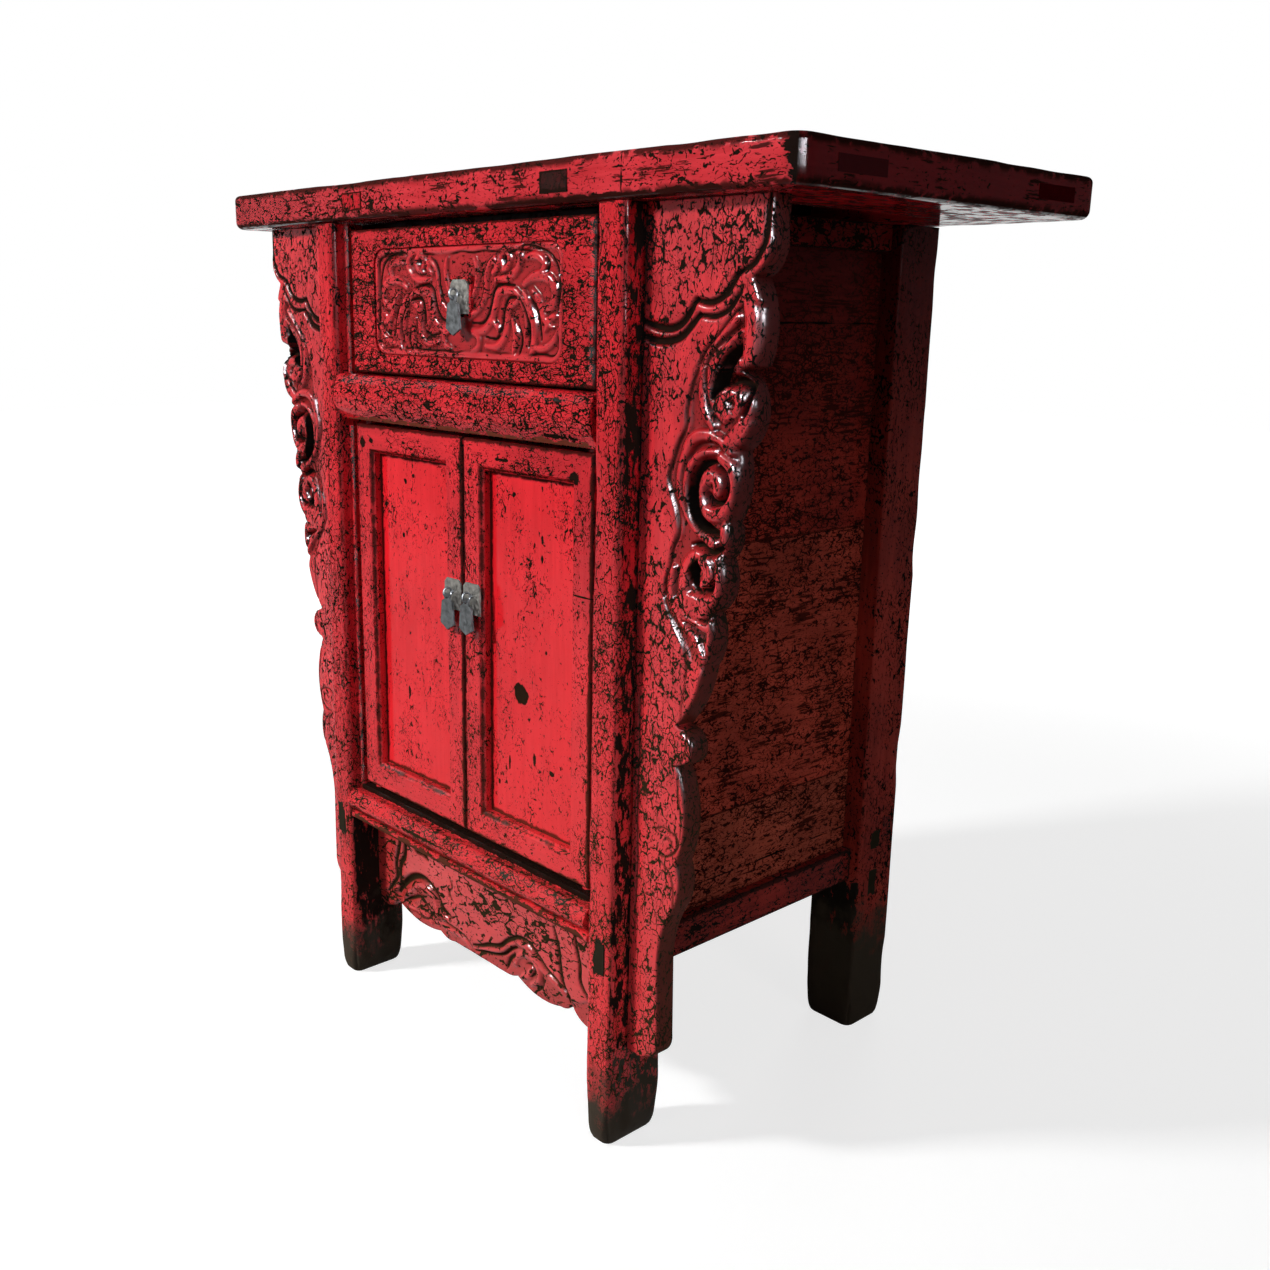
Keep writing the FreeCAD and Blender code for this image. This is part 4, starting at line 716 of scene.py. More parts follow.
BRACKET_PIERCINGS = [
    ((332.4, 720.9), (313.8, 706.4), (305.5, 678.8), (321.5, 691.9)),
    ((304.0, 630.2), (285.0, 611.3), (316.0, 577.2), (296.6, 604.0)),
    ((297.6, 555.4), (288.2, 543.0), (299.8, 529.2), (295.9, 542.3)),
]
SCROLL_BORDER = [(334, 750), (326, 743.5), (311, 727), (299, 716), (290, 697), (284.5, 684), (282, 672),
                 (281, 655.5), (273, 645), (268.5, 631), (264, 617), (268, 603), (274, 588), (277, 574.5),
                 (270, 562), (267, 546), (262.5, 535), (262, 520), (268, 508), (276, 495), (285, 483),
                 (291, 470), (292, 458)]
BRACKET_STROKES = [
    ridge(5.0, 0.2, 0.3, (328, 739), (320, 731), (308, 719), (299, 705), (296, 692), (296, 680), (299, 668),
          (307, 659)),
    ridge(3.4, -0.2, 0.4, (332, 729), (319, 718), (308, 707), (303, 695), (303, 683), (309, 672),
          (319, 663)),
    groove(2.0, 2.2, 0.9, 0.3, (330, 735), (318, 725), (306, 714), (300, 703), (299.5, 688), (304, 672),
          (313, 662)),
    ridge(10.0, 0.6, 0.3, (337, 752), (343, 738), (342, 722), (343, 708), (347, 698)),
    ridge(7.0, 0.4, 0.3, (322, 668), (314, 680), (316, 697), (327, 705), (339, 702), (347, 691), (346, 677),
          (339, 665), (329, 655)),
    ridge(5.4, -0.3, 0.3, (316, 682), (324, 684), (331, 682), (333, 676), (329, 669)),
    # The curl's eyes are filled dark: grime, and painted shade in the deep pits.
    groove(4.4, 8.0, 1.3, 0.3, (322, 692), (330, 694), (338, 691), (341, 686)),
    groove(3.8, 8.0, 1.3, 0.4, (341, 690), (340.5, 679), (337, 667)),
    ridge(8.0, 0.3, 0.3, (344, 662), (336, 652), (325, 650)),
    ridge(5.0, 0.3, 0.3, (326, 641), (313, 650), (297, 652), (285, 647), (279, 635), (275, 619), (278, 601),
          (287, 587), (299, 576), (314, 567)),
    ridge(3.6, -0.3, 0.3, (310, 640), (297, 638), (287, 630), (281, 618), (281, 605), (286, 592),
          (298, 580), (314, 570)),
    groove(1.8, 2.0, 0.8, 0.3, (313, 645), (298, 645), (287, 639), (280, 628), (277.5, 613), (281, 598),
          (291, 584), (305, 574)),
    groove(4.5, 6.5, 1.0, 0.4, (309, 632), (297, 630), (289, 620), (287, 606), (291, 592), (303, 582),
          (318, 577)),
    ridge(6.8, 0.5, 0.3, (317, 636), (328, 628), (332, 614), (327, 600), (313, 592), (300, 595), (295, 606),
          (298, 616), (307, 621), (314, 617), (314, 610)),
    groove(3.6, 6.5, 1.0, 0.5, (311, 629), (320, 625), (324, 614), (319, 603), (309, 601), (304, 607)),
    ridge(7.0, 0.2, 0.3, (331, 592), (325, 583), (324, 572)),
    groove(4.0, 5.5, 1.0, 0.4, (289, 566), (300, 567), (308, 562), (320, 568)),
    ridge(6.6, 0.5, 0.2, (318, 556), (320, 543), (317, 527), (307, 516), (294, 513), (284, 521), (282, 537),
          (287, 551), (296, 557), (305, 552), (308, 543), (304, 536)),
    ridge(9.0, 0.8, 0.3, (289, 522), (299, 519), (310, 522)),
    groove(4.2, 6.0, 1.0, 0.5, (297, 551), (291, 543), (294, 535)),
    groove(3.4, 6.0, 1.0, 0.5, (303, 532), (311, 533), (315, 540)),
    ridge(4.4, 0.0, 0.3, (270, 545), (268, 532), (269, 518), (280, 505), (295, 492), (307, 474)),
    ridge(4.0, 0.2, 0.3, (276, 520), (283, 508), (298, 503), (314, 501)),
    groove(3.6, 3.2, 0.5, 0.5, (284, 503), (297, 499), (311, 492)),
    ridge(5.0, 0.3, 0.3, (312, 506), (313, 495), (312, 483), (322, 476)),
    groove(1.9, 2.6, 0.9, 0.4, (334, 749), (325, 742), (310, 726), (298, 715), (289, 697), (284, 684),
          (281, 672), (280, 656), (273, 645), (268, 631), (263.5, 617), (268, 603), (274, 588), (276, 574),
          (270, 562), (267, 546), (262.5, 535), (262, 520)),
    groove(1.9, 1.5, 0.9, 0.4, (262, 528), (262.5, 518), (268, 507), (276, 496), (284, 484), (289, 471),
          (289, 457)),
    groove(1.3, 1.2, 0.6, 0.5, (288, 468), (288.5, 454), (286.5, 440), (285.5, 425), (288.5, 412),
          (292.5, 403), (290, 392.5), (285.5, 382), (283.5, 370.5), (285, 356), (287.5, 344), (289.5, 332),
          (288, 316)),
    ridge(3.0, 0.5, 0.4, (264, 318.3), (270, 319), (277, 318.5), (282.5, 313.5), (281, 306.5),
          (275, 301.5)),
    groove(1.7, 1.6, 0.9, 0.3, (261, 320), (268, 323), (275.5, 322.3), (284, 319.4), (286.7, 312.8),
          (282.7, 305), (274, 298.5), (265, 297)),
    groove(1.4, 1.3, 0.8, 0.4, (270, 312.5), (274.4, 315.4), (279, 313.5), (278.4, 308.2), (273.6, 305.3)),
    groove(1.4, 1.2, 0.7, 0.5, (263, 294), (269, 291), (275.6, 287), (280.5, 279.7), (282.5, 269),
          (282.5, 255), (279, 238)),
    groove(0.9, 0.7, 0.9, 0.5, (237, 432), (238.5, 380), (237.5, 330), (239.5, 284), (238, 240)),
    groove(4.2, 3.4, 1.4, 0.3, (229, 736), (245, 731.5), (260, 730), (271, 733), (280, 741), (287, 751.5)),
    groove(3.6, 3.0, 1.4, 0.3, (287, 751.5), (302, 749.5), (316, 755), (325, 766), (330, 771.5)),
    groove(3.4, 2.6, 1.3, 0.3, (330, 771.5), (342, 776), (349, 785), (353, 795), (355, 826)),
    groove(4.2, 3.4, 1.4, 0.3, (229, 725), (244, 721), (259, 720.5), (273, 724.5), (283, 733),
          (291, 740.5)),
    groove(3.0, 2.6, 1.3, 0.4, (291, 740.5), (307, 739.5), (320, 744.5), (327, 752), (333, 761)),
]


GROUND_DEEP, GROUND_FROM, GROUND_TO = 4.2, (458.0, 482.0), (744.0, 752.0)
HAND_UNEVEN = 0.35
POST_SIDE, SEAM_OPENS = 230.0, (690.0, 790.0)
BRACKET_TIP, BRACKET_DEEPEST = 26.0, 13.0
LIP_WIDE, LIP_DEEP = 2.0, 1.4


def bracket_height(x, z, to_edge):
    """Plain field at level 0, a sunk ground right of the scroll border, the strokes, a rounded outline whose
    flank is darkened, and a dark seam beside the post that opens upward; the flank and the seam are partly
    grime and partly painted shade."""
    border = smooth_line(SCROLL_BORDER)
    ground = soft_step(x - np.interp(z, border[::-1, 1], border[::-1, 0]), -1.5, 4.0)
    ground = ground * soft_step(z, *GROUND_FROM) * (1.0 - soft_step(z, *GROUND_TO))
    height, dirt = carve(x, z, -GROUND_DEEP * ground, 0.55 * soft_step(ground, 0.4, 1.0), BRACKET_STROKES)
    height = soften(height + hand_waves(x, z, HAND_UNEVEN, 5), 2)
    dirt = np.maximum(dirt, 0.8 * hollows(height))
    edge = np.clip(1.0 - to_edge / (4.0 + 5.0 * ground), 0.0, 1.0)
    height = height - (4.0 + 3.5 * ground) * rounding(edge)
    # The rounded outline's flank is darkened: partly worn and dirty lacquer, partly painted shade on the side
    # away from the light.
    dirt = np.maximum(dirt, 0.85 * soft_step(edge, 0.45, 0.90))
    # A dark seam beside the post, widening upward: partly grime in the joint and partly painted shade in the
    # gap.
    gap = 1.5 + 4.0 * soft_step(z, *SEAM_OPENS)
    seam = soft_step(x - POST_SIDE, 0.6 * gap, gap + 1.5) + 0.25 * hand_waves(x, 2.0 * z, 1.0, 4)
    dirt = np.maximum(dirt, 0.9 * (1.0 - np.clip(seam, 0.0, 1.0)))
    return height, np.clip(dirt, 0.0, 1.0)


def carved_bracket(side, name, material):
    """A bracket on a grid whose columns follow its outline, cut through at its piercings. Its rows lie
    closest at the tip, the curl and the scrolls; the cut cells' rims are drawn onto each piercing's line."""
    node = "bracket_" + side
    low, high = (np.array(corner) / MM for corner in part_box(node))
    hand = 1.0 if side == "right" else -1.0
    near, far = (low[0], high[0]) if hand > 0 else (-high[0], -low[0])
    tip, curl, scrolls, plain = low[2] + BRACKET_TIP, 236.0, 455.0, 755.0
    rows = np.concatenate([low[2] + BRACKET_TIP * np.linspace(0.0, 1.0, 22, endpoint=False) ** 1.6,
                           np.arange(tip, curl, 2.6), np.arange(curl, scrolls, 1.5),
                           np.linspace(scrolls, plain, 261, endpoint=False), np.linspace(plain, high[2], 41)])
    inner = np.clip(rows, low[2] + 0.01, high[2] - 0.01)
    reach = hand * silhouette(node, inner, 2, 0, hand)
    share = np.linspace(0.0, 1.0, 96)
    x = near + share[None, :] * (reach - near)[:, None]
    z = np.broadcast_to(rows[:, None], x.shape).copy()
    outline = np.stack([reach, rows], -1)
    to_edge, _ = reach_from(outline[::3], x, z)
    to_edge = np.minimum(to_edge, np.abs(x - near) * 1.6)
    hole = np.full(x.shape, 1e9)
    for piercing in BRACKET_PIERCINGS:
        hole = np.minimum(hole, crescent(x, z, *piercing))
    middle = 0.25 * (hole[:-1, :-1] + hole[1:, :-1] + hole[:-1, 1:] + hole[1:, 1:])
    kept = middle > 0.0
    touched = np.zeros(x.shape, bool)
    for corner in CELL_CORNERS:
        touched[corner] |= ~kept
    rim = np.pad(kept, 1, constant_values=True)
    beside = rim[:-1, :-1] | rim[1:, :-1] | rim[:-1, 1:] | rim[1:, 1:]
    moved = touched & beside
    for piercing in BRACKET_PIERCINGS:
        step = 0.05
        for _ in range(3):
            here = crescent(x, z, *piercing)
            slope_x = (crescent(x + step, z, *piercing) - here) / step
            slope_z = (crescent(x, z + step, *piercing) - here) / step
            close = moved & (np.abs(here) < 3.0)
            x = np.where(close, x - here * slope_x, x)
            z = np.where(close, z - here * slope_z, z)
    height, dirt = bracket_height(x, z, to_edge)
    # A sunk lip round each piercing, painted dark: painted shade where the deep holes lie in shade.
    lip = np.clip(1.0 - hole / LIP_WIDE, 0.0, 1.0) * (hole > -1.0)
    height -= LIP_DEEP * lip ** 2
    dirt = np.maximum(dirt, soft_step(lip, 0.0, 0.6))
    height = np.clip(height, -BRACKET_DEEPEST, 0.0)
    places, faces, used = slab_of_grid(x * MM, (low[1] - height) * MM, z * MM, high[1] * MM, kept)
    if hand < 0:
        places[:, 0] *= -1.0
        faces = faces[:, ::-1]
    # The back's places set the walls' colour: near black at the piercings as painted shade inside the holes,
    # and almost as dark on the outer walls, partly grime and partly painted shade on the side away from the
    # light.
    deep = np.where(hole < 2.5, 1.0, 0.88)
    soil = np.concatenate([dirt.ravel(), deep.ravel()])[used]
    piece = new_piece(name, places, faces, "cabinet", "red_lacquer", material, dirt=soil)
    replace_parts(piece, node)


for side, shift in (("left", 5.0), ("right", 2.0)):
    carved_bracket(side, "carved_bracket_" + side, lacquer(
        "carved %s bracket lacquer" % side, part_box("bracket_" + side), shift=shift, cell=0.0084, cracks=0.68,
        wear=0.0, chips=0.3, recess="dirt", gloss=0.55, coat_rough=0.26, roughness=0.15, bumps=2.0))


# The apron between the front feet, in millimetres from the middle and the floor

APRON_STROKES = [
    ridge(4.4, 0.3, 0.4, (-148, 100), (-140, 112), (-126, 125), (-109, 131), (-94, 126), (-85, 114),
          (-84, 97)),
    ridge(3.4, 0.3, 0.4, (-78, 122), (-72, 112), (-62, 108), (-45, 107), (-28, 104), (-18, 94)),
    ridge(3.0, 0.0, 0.4, (-80, 100), (-66, 98), (-45, 99), (-30, 95), (-22, 89)),
    ridge(3.6, 0.3, 0.4, (-14, 95), (7, 102), (27, 108), (37, 117), (47, 125), (62, 129), (77, 126),
          (88, 118), (104, 111), (121, 106), (132, 101)),
    ridge(4.0, 0.2, 0.4, (52, 103), (56, 113), (66, 120), (79, 119), (88, 110), (87, 98), (77, 91)),
    ridge(5.0, 0.0, 0.4, (-138, 97), (-124, 99), (-108, 98), (-95, 93)),
    ridge(4.5, 0.0, 0.4, (62, 93), (72, 99), (78, 106)),
    ridge(4.2, 0.2, 0.4, (140, 101), (150, 106), (163, 112), (174, 107), (182, 97)),
    groove(5.2, 4.2, 1.3, 0.4, (-158, 108), (-150, 118), (-141, 127), (-126, 137), (-109, 141), (-93, 137),
          (-82, 129), (-73, 119), (-60, 114)),
    groove(2.0, 2.0, 0.9, 0.4, (-76, 104), (-62, 103), (-45, 102.5), (-28, 99), (-20, 92)),
    groove(3.4, 3.2, 1.2, 0.4, (-18, 97), (-6, 101), (7, 107), (27, 114), (40, 125), (56, 134), (72, 135),
          (88, 127), (101, 118), (117, 112), (131, 106)),
    groove(2.8, 2.8, 1.1, 0.4, (-17, 91), (1, 96), (20, 101), (33, 107), (42, 115), (53, 122)),
    groove(3.0, 3.0, 1.1, 0.5, (36, 92), (42, 105), (50, 112)),
    groove(3.0, 3.0, 1.1, 0.5, (-146, 102), (-132, 109), (-119, 115), (-109, 112), (-103, 106)),
    groove(1.8, 2.0, 0.9, 0.5, (-127, 95), (-113, 92), (-99, 97), (-90, 107)),
    groove(2.2, 2.6, 1.0, 0.5, (68, 110), (78, 112), (81, 105), (76, 99)),
    groove(1.8, 2.0, 0.9, 0.5, (94, 106), (94, 96), (86, 87)),
    groove(4.6, 3.4, 1.3, 0.4, (-141, 190), (-142, 172), (-144, 155), (-152, 144), (-154, 130),
          (-153, 116)),
    groove(3.6, 3.0, 1.2, 0.4, (-152, 190), (-154, 166), (-161, 142), (-160, 125), (-169, 113),
          (-178, 102)),
    groove(3.0, 2.6, 1.1, 0.4, (111, 168), (119, 149), (122, 130), (126, 114), (134, 102), (142, 94)),
    groove(2.8, 2.6, 1.1, 0.4, (140, 190), (143, 166), (150, 142), (151, 126), (160, 114), (176, 102)),
    groove(1.6, 1.4, 0.8, 0.6, (-140, 184), (-110, 182), (-70, 181), (-20, 178)),
    groove(1.8, 1.5, 0.8, 0.6, (-58, 158), (-54, 150), (-60, 142), (-52, 134)),
    groove(5.0, 1.6, 1.0, 0.6, (-126, 176), (-118, 170), (-108, 171), (-98, 166)),
    groove(1.6, 1.4, 0.9, 0.6, (-128, 128), (-122, 121), (-112, 118), (-104, 121)),
]

APRON_RIBBON = [(-200, 96), (-158, 108), (-141, 127), (-109, 141), (-82, 129), (-60, 113), (-18, 97),
                (27, 114), (56, 133), (72, 134), (101, 117), (131, 105), (145, 104), (163, 116), (200, 98)]
APRON_GROUND, APRON_ROUND, APRON_DEEPEST = 2.4, 3.0, 9.0


def carved_apron(material):
    """The apron on a grid whose rows follow its lower outline: plain field, sunk ground below the ribbon."""
    low, high = (np.array(corner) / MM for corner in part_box("apron"))
    columns = np.linspace(low[0], high[0], 300)
    lower = silhouette("apron", np.clip(columns, low[0] + 0.01, high[0] - 0.01), 0, 2, -1.0)
    share = np.linspace(0.0, 1.0, 86)[:, None] ** 1.15
    z = lower + share * (high[2] - lower)
    x = np.broadcast_to(columns, z.shape).copy()
    outline = np.stack([columns, lower], -1)
    to_edge, _ = reach_from(outline[::2], x, z)
    ribbon = smooth_line(APRON_RIBBON)
    ground = 1.0 - soft_step(z - np.interp(x, ribbon[:, 0], ribbon[:, 1]), -3.0, 2.0)
    height, dirt = carve(x, z, -APRON_GROUND * ground, 0.3 * ground, APRON_STROKES)
    height = soften(height + hand_waves(x, z, HAND_UNEVEN, 6), 2)
    dirt = np.maximum(dirt, 0.8 * hollows(height))
    edge = np.clip(1.0 - to_edge / APRON_ROUND, 0.0, 1.0)
    height = np.clip(height - APRON_ROUND * rounding(edge), -APRON_DEEPEST, 0.0)
    places, faces, used = slab_of_grid(x * MM, (low[1] - height) * MM, z * MM, high[1] * MM)
    soil = np.concatenate([np.clip(dirt, 0.0, 1.0).ravel(), np.full(x.size, 0.4)])[used]
    piece = new_piece("carved_apron", places, faces, "cabinet", "red_lacquer", material, dirt=soil)
    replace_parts(piece, "apron")


# The apron carries a share of the painted pink haze low down.
carved_apron(lacquer("carved apron lacquer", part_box("apron"), shift=15.7, along="x", reds=APRON_REDS,
                     faded=0.45, cell=0.0115, cracks=0.62, fine=0.35, grain=0.35, wear=0.0, recess="dirt",
                     gloss=0.60, coat_rough=0.15, bumps=1.3))


# The drawer's cartouche, right half drawn in millimetres from the middle and the floor

CARTOUCHE_WIDE, CARTOUCHE_TALL = 284.0, 100.0
CARTOUCHE_CORNER, CARTOUCHE_DEEP, CARTOUCHE_GAP = 16.0, 4.5, 0.2
CARTOUCHE_GROUND, CARTOUCHE_BORDER = 2.6, 1.7
DRAWER_STROKES = [
    ridge(4.8, -0.1, 0.4, (12, 736), (25, 743), (34, 754), (36, 769), (40, 780), (48, 785), (52, 780),
          (47, 774)),
    ridge(4.6, -0.2, 0.4, (16, 724), (30, 724), (42, 731), (49, 743), (54, 756), (66, 759), (80, 757)),
    ridge(4.2, -0.2, 0.4, (36, 711), (52, 711), (63, 720), (67, 733), (70, 744), (80, 749)),
    ridge(3.4, 0.0, 0.3, (60, 780), (58, 787), (64, 792), (70, 787), (68, 779), (61, 776)),
    ridge(4.4, 0.0, 0.4, (50, 768), (66, 769), (79, 775), (85, 784), (81, 792), (73, 795)),
    ridge(5.6, 0.0, 0.4, (90, 764), (103, 770), (117, 770), (128, 764), (131, 754), (126, 746), (117, 745)),
    ridge(4.2, 0.0, 0.5, (77, 760), (88, 749), (94, 736), (92, 722)),
    ridge(4.2, 0.0, 0.5, (89, 758), (98, 745), (103, 730), (103, 714), (99, 706)),
    ridge(4.2, 0.0, 0.5, (102, 759), (111, 749), (117, 736), (128, 729)),
    ridge(3.6, -0.2, 0.5, (103, 711), (117, 711), (129, 717), (136, 727)),
    ridge(3.6, -0.2, 0.5, (74, 735), (78, 722), (75, 706)),
    ridge(3.6, 0.0, 0.5, (16, 722), (25, 719), (24, 709), (15, 706)),
    ridge(4.0, -0.3, 0.5, (92, 786), (106, 787), (117, 781), (114, 775)),
    ridge(3.6, -0.3, 0.5, (20, 786), (24, 775), (22, 762), (16, 752)),
    ridge(3.2, -0.2, 0.5, (118, 725), (124, 735), (133, 738)),
    ridge(3.0, -0.3, 0.5, (44, 735), (53, 728), (56, 722)),
    groove(1.9, 1.6, 0.9, 0.4, (20, 742), (29, 750), (33, 760), (34, 772), (38, 782), (46, 788)),
    groove(2.2, 1.8, 1.0, 0.4, (15, 731), (29, 731), (38, 738), (43, 748), (47, 759), (56, 764), (76, 763)),
    groove(2.2, 1.8, 1.0, 0.4, (34, 719), (50, 718), (58, 727), (61, 742), (67, 752), (80, 753)),
    groove(2.0, 1.8, 0.9, 0.4, (62, 784), (64, 787), (66, 784), (63, 782)),
    groove(2.0, 1.8, 1.0, 0.5, (118, 786), (122, 780), (119, 773)),
    groove(2.0, 1.6, 0.9, 0.4, (86, 792), (92, 796), (111, 793), (127, 785), (135, 772), (138, 758),
          (134, 742)),
    groove(2.0, 1.6, 0.9, 0.4, (84, 753), (93, 741), (97, 727), (95, 712)),
    groove(2.0, 1.6, 0.9, 0.4, (97, 753), (106, 743), (110, 730), (112, 718)),
    groove(2.0, 1.6, 0.9, 0.4, (82, 729), (86, 717), (82, 705)),
]


def carved_cartouche(material):
    """The carving in the drawer's pocket, on a grid that follows the pocket's round corners: a dark groove at
    the rim, an incised line inside it, and the strokes on either side of the pull, mirrored but not alike."""
    low, high = (np.array(corner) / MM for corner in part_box("drawer_front"))
    middle = 0.5 * (low[2] + high[2])
    wide, tall = 0.5 * CARTOUCHE_WIDE - CARTOUCHE_GAP, 0.5 * CARTOUCHE_TALL - CARTOUCHE_GAP
    columns = np.linspace(-wide, wide, 290)
    past = np.clip(np.abs(columns) - (wide - CARTOUCHE_CORNER), 0.0, CARTOUCHE_CORNER)
    half = tall - CARTOUCHE_CORNER + np.sqrt(CARTOUCHE_CORNER ** 2 - past ** 2)
    z = middle + np.linspace(-1.0, 1.0, 102)[:, None] * half
    x = np.broadcast_to(columns, z.shape).copy()
    to_edge = np.minimum(wide - np.abs(x), tall - np.abs(z - middle))
    corner = np.hypot(np.maximum(np.abs(x) - wide + CARTOUCHE_CORNER, 0.0),
                      np.maximum(np.abs(z - middle) - tall + CARTOUCHE_CORNER, 0.0))
    to_edge = np.minimum(to_edge, np.where(corner > 0.0, CARTOUCHE_CORNER - corner, to_edge))
    left = x < 0.0
    drawn_x = np.where(left, -x * 1.03 - 1.0 + 1.5 * np.sin(z / 13.0), x)
    drawn_z = z + np.where(left, 1.8 * np.sin(x / 19.0), 0.0)
    height = -CARTOUCHE_GROUND + CARTOUCHE_BORDER * soft_step(-to_edge, -7.5, -4.5)
    height, dirt = carve(drawn_x, drawn_z, height, 0.35 * soft_step(to_edge, 5.0, 9.0), DRAWER_STROKES)
    height = soften(height + hand_waves(x, z, 0.3, 7), 1)
    rim = 1.0 - soft_step(to_edge, 0.3, 2.0)
    wander = to_edge - 6.5 + hand_waves(x, z, 1.6, 9)
    line = np.clip(1.0 - (np.abs(wander) / 1.6) ** 2, 0.0, 1.0)
    line = line * soft_step(hand_waves(0.6 * x, z, 1.0, 11), -0.5, 0.1)
    height = np.clip(height - 1.0 * rim - 0.9 * line, 0.3 - CARTOUCHE_DEEP, -0.05)
    dirt = np.clip(np.maximum(dirt, np.maximum(0.55 * rim, 0.8 * line)) + 0.8 * hollows(height, 4), 0.0, 1.0)
    places, faces, used = slab_of_grid(x * MM, (low[1] - height) * MM, z * MM,
                                       (low[1] + CARTOUCHE_DEEP + 0.6) * MM)
    soil = np.concatenate([dirt.ravel(), np.ones(x.size)])[used]
    new_piece("carved_cartouche", places, faces, "drawer", "red_lacquer", material, dirt=soil)


carved_cartouche(lacquer("carved cartouche lacquer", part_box("drawer_front"), shift=16.9, along="x",
                         cell=0.0065, cracks=0.45, fine=0.35, wear=0.0, recess="dirt", gloss=0.50,
                         coat_rough=0.15, roughness=0.14))


# Bars planed by hand: posts, legs and the top's frame

def rounded_section(low, high, radii, step=4.0):
    """A rectangle with its own radius at each corner (low-low, high-low, high-high, low-high), as places with
    outward normals and a measure of how near each is to a corner."""
    places, normals, corner = [], [], []
    centres = [(low[0] + radii[0], low[1] + radii[0]), (high[0] - radii[1], low[1] + radii[1]),
               (high[0] - radii[2], high[1] - radii[2]), (low[0] + radii[3], high[1] - radii[3])]
    for number, (centre, radius) in enumerate(zip(centres, radii)):
        turns = math.pi * (1.0 + 0.5 * number) + np.linspace(0.0, 0.5 * math.pi, 7)
        arc = np.stack([np.cos(turns), np.sin(turns)], -1)
        places += list(np.array(centre) + radius * arc)
        normals += list(arc)
        corner += [1.0] * 7
        following = (number + 1) % 4
        goal = np.array(centres[following]) + radii[following] * arc[-1]
        steps = max(int(np.linalg.norm(goal - places[-1]) / step), 1)
        for share in np.arange(1, steps) / steps:
            places.append((1.0 - share) * (np.array(centre) + radius * arc[-1]) + share * goal)
            normals.append(arc[-1])
            corner.append(max(0.0, 1.0 - 0.45 * min(share, 1.0 - share) * steps))
    return np.array(places), np.array(normals), np.array(corner)


FOOT_CORNER, FOOT_DRAWN = 13.0, 0.36
FOOT_ROWS = np.array([0.0, 0.02, 0.06, 0.13, 0.24, 0.4, 0.6, 0.8])


def quarter_rings(x, y, low, high, radius):
    """Turns the square rings round a rectangle's corners, as near as a radius, into quarter rings."""
    middle_x, middle_y = 0.5 * (low[0] + high[0]), 0.5 * (low[1] + high[1])
    past_x = np.maximum(np.abs(x - middle_x) - 0.5 * (high[0] - low[0]) + radius, 0.0)
    past_y = np.maximum(np.abs(y - middle_y) - 0.5 * (high[1] - low[1]) + radius, 0.0)
    away = np.hypot(past_x, past_y)
    share = np.where((past_x > 0.0) & (past_y > 0.0),
                     np.maximum(past_x, past_y) / np.maximum(away, 1e-9), 1.0)
    return (x - np.sign(x - middle_x) * past_x * (1.0 - share),
            y - np.sign(y - middle_y) * past_y * (1.0 - share))


def planed_bar(section, start, end, place, seed, wave=0.7, foot=0.0, step=6.0):
    """A closed bar: a section carried along a line, its ends cut where start and end say, its surface let in
    by slow waves, more at the arrises, and its foot drawn in as a quarter ellipse, with rounder corners.
    Returns places and faces."""
    flat, normal, corner = section
    first, last = start(flat[:, 0]), end(flat[:, 0])
    longest = np.max(last - first)
    count = int(longest / step)
    share = np.linspace(0.0, 1.0, count)
    if foot:
        share = np.concatenate([FOOT_ROWS * foot, np.linspace(foot, longest, count)]) / longest
    along = first + share[:, None] * (last - first)
    around = np.cumsum(np.r_[0.0, np.linalg.norm(np.diff(flat, axis=0), axis=1)])
    slow = hand_waves(along * 0.22, np.broadcast_to(around, along.shape) * 0.8, 1.5, seed)
    let_in = 0.25 + wave * (0.5 + 0.5 * slow)
    worn = np.clip(hand_waves(along * 0.4, np.round(around / 30.0) * 37.0 + 0 * along, 1.6, seed + 1),
                   0.0, 1.0)
    let_in = np.clip(let_in, 0.05, 2.0) + 1.6 * wave * corner * worn
    steady = soft_step(np.minimum(along - first, last - along), 4.0, 45.0)
    let_in = 0.5 + steady * (let_in - 0.5)
    if foot:
        rise = np.clip((along - first) / foot, 0.0, 1.0)
        let_in = let_in + FOOT_DRAWN * foot * (1.0 - np.sqrt(np.maximum(1.0 - (1.0 - rise) ** 2, 0.0)))
    across = np.clip(flat[None] - let_in[..., None] * normal[None], flat.min(axis=0) + let_in[..., None],
                     flat.max(axis=0) - let_in[..., None])
    across = across[..., 0], across[..., 1]
    if foot:
        radius = FOOT_CORNER * (1.0 - soft_step(along - first, 0.0, 4.0 * foot))
        across = quarter_rings(*across, flat.min(axis=0), flat.max(axis=0), radius)
    places = np.stack(place(along, *across), -1).reshape(-1, 3)
    rows, round_count = along.shape
    number = np.arange(rows * round_count).reshape(rows, round_count)
    following = np.roll(number, -1, axis=1)
    faces = np.stack([number[:-1], following[:-1], following[1:], number[1:]], -1).reshape(-1, 4).tolist()
    faces += [number[0, ::-1].tolist(), number[-1].tolist()]
    return places, outward(places, faces)


def outward(places, faces):
    """Faces turned so that they enclose a positive volume."""
    quads = np.array([face for face in faces if len(face) == 4])
    a, b, c, d = (places[quads[:, corner]] - places.mean(axis=0) for corner in range(4))
    volume = np.einsum("ij,ij->", a, np.cross(b, c)) + np.einsum("ij,ij->", a, np.cross(c, d))
    return faces if volume > 0.0 else [face[::-1] for face in faces]


